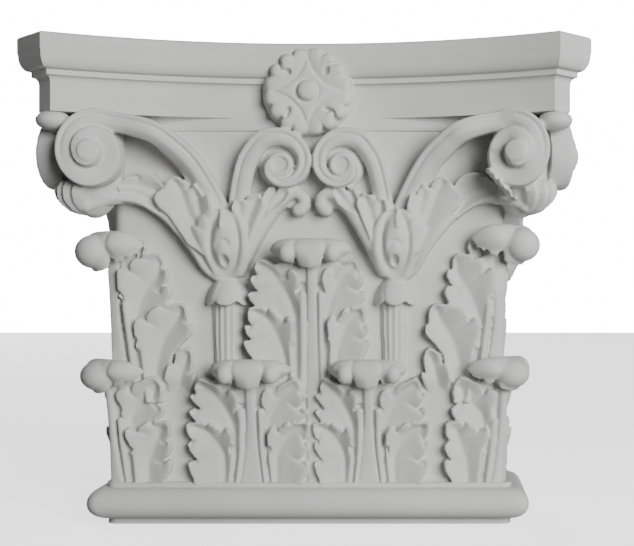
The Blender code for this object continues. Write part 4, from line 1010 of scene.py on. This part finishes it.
def castFlashParts():
    # ragged seam left by the mould below the right volute
    parts = []
    start = np.array(castFlash["from"])
    run = np.subtract(castFlash["to"], castFlash["from"])
    for i in range(castFlash["bumps"]):
        x, z, reach = start + run * i / castFlash["bumps"]
        ragged = math.sin(2.4 * i)
        size = castFlash["radius"] * (1.3 + 0.5 * ragged)
        centre = (x, reach, z + castFlash["jitter"] * ragged)
        parts.append(ball("castFlash", centre, (size, 4 * size, size), 12, 8))
    return parts


# Putting the cast together

def moved(obj, move):
    # a copy whose points are moved by a function of their coordinates in metres
    copy = bpy.data.objects.new(obj.name + "Copy", obj.data.copy())
    bpy.context.scene.collection.objects.link(copy)
    points = np.empty(len(copy.data.vertices) * 3)
    copy.data.vertices.foreach_get("co", points)
    copy.data.vertices.foreach_set("co", move(points.reshape(-1, 3)).reshape(-1))
    return copy


def roundTheCorner(points):
    reach = bell["front"] * mm - points[:, 1]
    arris = bell["arris"] * mm
    return np.stack([arris + reach, bell["front"] * mm - (points[:, 0] - arris), points[:, 2]], axis=1)


def leftForRight(points):
    return points * np.array([-1.0, 1.0, 1.0])


carvingDrift = 3.5


def drift(obj):
    # the carving sits a little to the right of the middle, less towards the corners
    points = np.empty(len(obj.data.vertices) * 3)
    obj.data.vertices.foreach_get("co", points)
    points = points.reshape(-1, 3)
    points[:, 0] += carvingDrift * mm * np.maximum(1 - np.abs(points[:, 0]) / (bell["arris"] * mm), 0.0)
    obj.data.vertices.foreach_set("co", points.reshape(-1))


# How far the right half's forms stand from the left half's mirror image: across and up
rightNudges = {
    "lowerLeaf": (-3.2, 0), "lowerCurl": (-3.2, 0), "lowerEgg": (-3.2, 0),
    "lowerCornerLeaf": (-3, 0), "lowerCorner": (-4.5, 2), "lowerCornerKnob": (-4.5, 2),
    "upperCornerLeaf": (-3, 0), "upperCorner": (-1, 5), "upperCornerKnob": (0, 5),
}


def nudged(obj):
    across, up = rightNudges.get(obj.name, (0, 0))
    obj.data.transform(Matrix.Translation((across * mm, 0, up * mm)))


def carvingParts():
    middle = [frontLeaf("upperLeaf", upperLeaf)] + frontCurl("upper", (0, 17))
    oneSide = [
        frontLeaf("lowerLeaf", lowerLeaf),
        cornerLeaf("lowerCornerLeaf", lowerCornerLeaf),
        cornerLeaf("upperCornerLeaf", upperCornerLeaf),
    ]
    oneSide += frontCurl("lower", (lowerLeaf["x"], 12))
    oneSide += cornerCurl("lowerCorner") + cornerCurl("upperCorner")
    oneSide += cornerParts() + flutedStem() + innerHelix()
    returned = cornerVolute() + calyxParts()
    oneSide += returned + [moved(obj, roundTheCorner) for obj in returned]
    otherSide = [moved(obj, leftForRight) for obj in oneSide]
    for obj in oneSide:
        nudged(obj)
    for obj in middle + oneSide + otherSide:
        drift(obj)
    return middle + oneSide + otherSide + castFlashParts() + [rosetteSolid()]


def applyModifiers(obj):
    bpy.context.view_layer.update()
    evaluated = obj.evaluated_get(bpy.context.evaluated_depsgraph_get())
    mesh = bpy.data.meshes.new_from_object(evaluated)
    obj.modifiers.clear()
    obj.data = mesh


def joined(name, parts):
    bm = bmesh.new()
    for part in parts:
        bm.from_mesh(part.data)
        bpy.data.objects.remove(part, do_unlink=True)
    return newObject(name, bm)


def dropCrumbs(obj):
    bm = bmesh.new()
    bm.from_mesh(obj.data)
    seen = set()
    crumbs = []
    for seed in bm.verts:
        if seed in seen:
            continue
        seen.add(seed)
        island = [seed]
        for vert in island:
            for edge in vert.link_edges:
                other = edge.other_vert(vert)
                if other not in seen:
                    seen.add(other)
                    island.append(other)
        if len(island) < detail["crumb"]:
            crumbs += island
    bmesh.ops.delete(bm, geom=crumbs, context="VERTS")
    bm.to_mesh(obj.data)
    bm.free()


def fuse(obj):
    remesh = obj.modifiers.new("fuse", "REMESH")
    remesh.mode = "VOXEL"
    remesh.voxel_size = detail["voxel"] * mm
    soften = obj.modifiers.new("soften", "SMOOTH")
    soften.factor = 0.5
    soften.iterations = detail["softening"]
    applyModifiers(obj)
    dropCrumbs(obj)
    thin = obj.modifiers.new("thin", "DECIMATE")
    thin.ratio = min(1.0, detail["triangles"] / (2 * len(obj.data.polygons)))
    applyModifiers(obj)


def boolean(obj, other, operation):
    modifier = obj.modifiers.new(operation.lower(), "BOOLEAN")
    modifier.operation = operation
    modifier.object = other
    modifier.solver = "EXACT"
    applyModifiers(obj)
    bpy.data.objects.remove(other, do_unlink=True)


def wallCutter():
    bm = bmesh.new()
    bmesh.ops.create_cube(bm, size=1.0)
    bmesh.ops.translate(bm, verts=bm.verts[:], vec=(0, bell["wall"] * mm + 0.5, 0.178))
    return newObject("wallCutter", bm)


# Plaster

plasterLook = {
    "pale": (0.64, 0.64, 0.63), "grey": (0.55, 0.55, 0.545), "cloudScale": 16, "speckScale": 420,
    "roughness": 0.85, "grainScale": 900, "grainHeight": 0.00008, "waveScale": 90, "waveHeight": 0.00025,
    # pits: pinholes pressed in through the bump, with painted shade in them: their colour is drawn darker
    "pitScale": 200, "pitLevel": 0.76, "pitDepth": 0.0004, "pitPaintedShade": 2,
    "cloudGain": 1.4, "cloudShift": 0.2, "speckGain": 0.25, "bump": 0.6, "specular": 0.3,
}


class Field:
    # a socket of the material, with arithmetic written as Math nodes
    def __init__(self, material, socket=None):
        self.material = material
        self.socket = socket

    def node(self, kind, settings, inputs, output=0):
        made = self.material.node_tree.nodes.new(kind)
        for key, value in settings.items():
            setattr(made, key, value)
        for key, value in inputs.items():
            if isinstance(value, Field):
                self.material.node_tree.links.new(value.socket, made.inputs[key])
            else:
                made.inputs[key].default_value = value
        return Field(self.material, made.outputs[output])

    def math(self, operation, left, right):
        return self.node("ShaderNodeMath", {"operation": operation}, {0: left, 1: right})

    def __add__(self, other):
        return self.math("ADD", self, other)

    __radd__ = __add__

    def __mul__(self, other):
        return self.math("MULTIPLY", self, other)

    __rmul__ = __mul__

    def __sub__(self, other):
        return self.math("SUBTRACT", self, other)

    def __rsub__(self, other):
        return self.math("SUBTRACT", other, self)


def plasterMaterial():
    material = bpy.data.materials.new("castPlaster")
    material.use_nodes = True
    shader = material.node_tree.nodes["Principled BSDF"]
    tree = Field(material)
    place = tree.node("ShaderNodeTexCoord", {}, {}, "Object")

    def noise(scale, octaves):
        sockets = {"Vector": place, "Scale": scale, "Detail": octaves}
        return tree.node("ShaderNodeTexNoise", {}, sockets, "Fac")

    clouds = noise(plasterLook["cloudScale"], 4.0)
    specks = noise(plasterLook["speckScale"], 2.0)
    pits = tree.math("GREATER_THAN", noise(plasterLook["pitScale"], 1.0), plasterLook["pitLevel"])
    tone = clouds * plasterLook["cloudGain"] - plasterLook["cloudShift"]
    # the pits' colour is darkened: painted shade in the pinholes, on top of their bump
    tone = tone + (specks - 0.5) * plasterLook["speckGain"] - pits * plasterLook["pitPaintedShade"]
    colour = tree.node("ShaderNodeMix", {"data_type": "RGBA", "clamp_factor": True},
                       {0: tone, 6: plasterLook["grey"] + (1,), 7: plasterLook["pale"] + (1,)}, 2)
    height = (noise(plasterLook["grainScale"], 3.0) * plasterLook["grainHeight"]
              + noise(plasterLook["waveScale"], 2.0) * plasterLook["waveHeight"]
              - pits * plasterLook["pitDepth"])
    bump = tree.node("ShaderNodeBump", {},
                     {"Height": height, "Strength": plasterLook["bump"], "Distance": 1.0})
    material.node_tree.links.new(colour.socket, shader.inputs["Base Color"])
    material.node_tree.links.new(bump.socket, shader.inputs["Normal"])
    shader.inputs["Roughness"].default_value = plasterLook["roughness"]
    shader.inputs["Specular IOR Level"].default_value = plasterLook["specular"]
    return material


def capitalCast():
    cast = body()
    print("core made")
    carving = joined("carving", carvingParts())
    print("carving made")
    fuse(carving)
    print("carving fused:", len(carving.data.polygons), "faces")
    boolean(cast, abacusSolid(), "UNION")
    boolean(cast, carving, "UNION")
    boolean(cast, wallCutter(), "DIFFERENCE")
    cast.name = "capitalCast"
    cast.data.materials.clear()
    cast.data.materials.append(plasterMaterial())
    cast.data.shade_smooth()
    cast.data.set_sharp_from_angle(angle=math.radians(detail["sharpAngle"]))
    print("cast united:", sum(len(face.vertices) - 2 for face in cast.data.polygons), "triangles")
    return cast


# Studio: floor, camera and lights

studio = {"floorHalf": 4.0, "floor": (0.93, 0.93, 0.93), "backdrop": 16.0, "ambient": 0.03, "keyPower": 51.5,
          "keySize": 1.0, "keyPlace": (1.04, -1.55, 0.60), "floorGlow": 1.8, "fillPower": 80, "fillSize": 3.0,
          "fillPlace": (-2.2, 3.4, 2.2), "lens": 68.1, "shift": (-0.19, 0.027),
          "cameraPlace": (0.096, -0.934, 0.174), "lightAim": (0, 0, 0.17)}


def studioFloor():
    bm = bmesh.new()
    bmesh.ops.create_grid(bm, x_segments=1, y_segments=1, size=studio["floorHalf"])
    bmesh.ops.translate(bm, verts=bm.verts[:], vec=(0, 0, -0.0005))
    floor = newObject("studioFloor", bm)
    material = bpy.data.materials.new("studioFloor")
    material.use_nodes = True
    shader = material.node_tree.nodes["Principled BSDF"]
    shader.inputs["Base Color"].default_value = studio["floor"] + (1,)
    shader.inputs["Roughness"].default_value = 0.9
    shader.inputs["Emission Color"].default_value = (1, 1, 1, 1)
    shader.inputs["Emission Strength"].default_value = studio["floorGlow"]
    floor.data.materials.append(material)
    floor.visible_diffuse = False   # its glow isn't meant to light the cast
    return floor


def studioCamera():
    camera = bpy.data.objects.new("camera", bpy.data.cameras.new("camera"))
    bpy.context.scene.collection.objects.link(camera)
    camera.data.sensor_width = 36
    camera.data.lens = studio["lens"]
    camera.data.shift_x, camera.data.shift_y = studio["shift"]
    camera.location = studio["cameraPlace"]
    camera.rotation_euler = (math.radians(90), 0, 0)
    bpy.context.scene.camera = camera


def areaLight(name, power, size, place):
    light = bpy.data.objects.new(name, bpy.data.lights.new(name, "AREA"))
    bpy.context.scene.collection.objects.link(light)
    light.data.size = size
    light.data.energy = power
    light.location = place
    light.rotation_euler = (Vector(studio["lightAim"]) - light.location).to_track_quat("-Z", "Y").to_euler()


def studioLights():
    world = bpy.data.worlds.new("studio")
    world.use_nodes = True
    nodes, links = world.node_tree.nodes, world.node_tree.links
    ambient = nodes["Background"]
    ambient.inputs["Color"].default_value = (1, 1, 1, 1)
    ambient.inputs["Strength"].default_value = studio["ambient"]
    backdrop = nodes.new("ShaderNodeBackground")
    backdrop.inputs["Color"].default_value = (1, 1, 1, 1)
    backdrop.inputs["Strength"].default_value = studio["backdrop"]
    rays = nodes.new("ShaderNodeLightPath")
    choice = nodes.new("ShaderNodeMixShader")
    links.new(rays.outputs["Is Camera Ray"], choice.inputs["Fac"])
    links.new(ambient.outputs["Background"], choice.inputs[1])
    links.new(backdrop.outputs["Background"], choice.inputs[2])
    links.new(choice.outputs["Shader"], nodes["World Output"].inputs["Surface"])
    bpy.context.scene.world = world
    areaLight("key", studio["keyPower"], studio["keySize"], studio["keyPlace"])
    areaLight("backFill", studio["fillPower"], studio["fillSize"], studio["fillPlace"])


cast = capitalCast()
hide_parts("capital")
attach(cast, "root")
studioFloor()
studioCamera()
studioLights()
print("studio set")
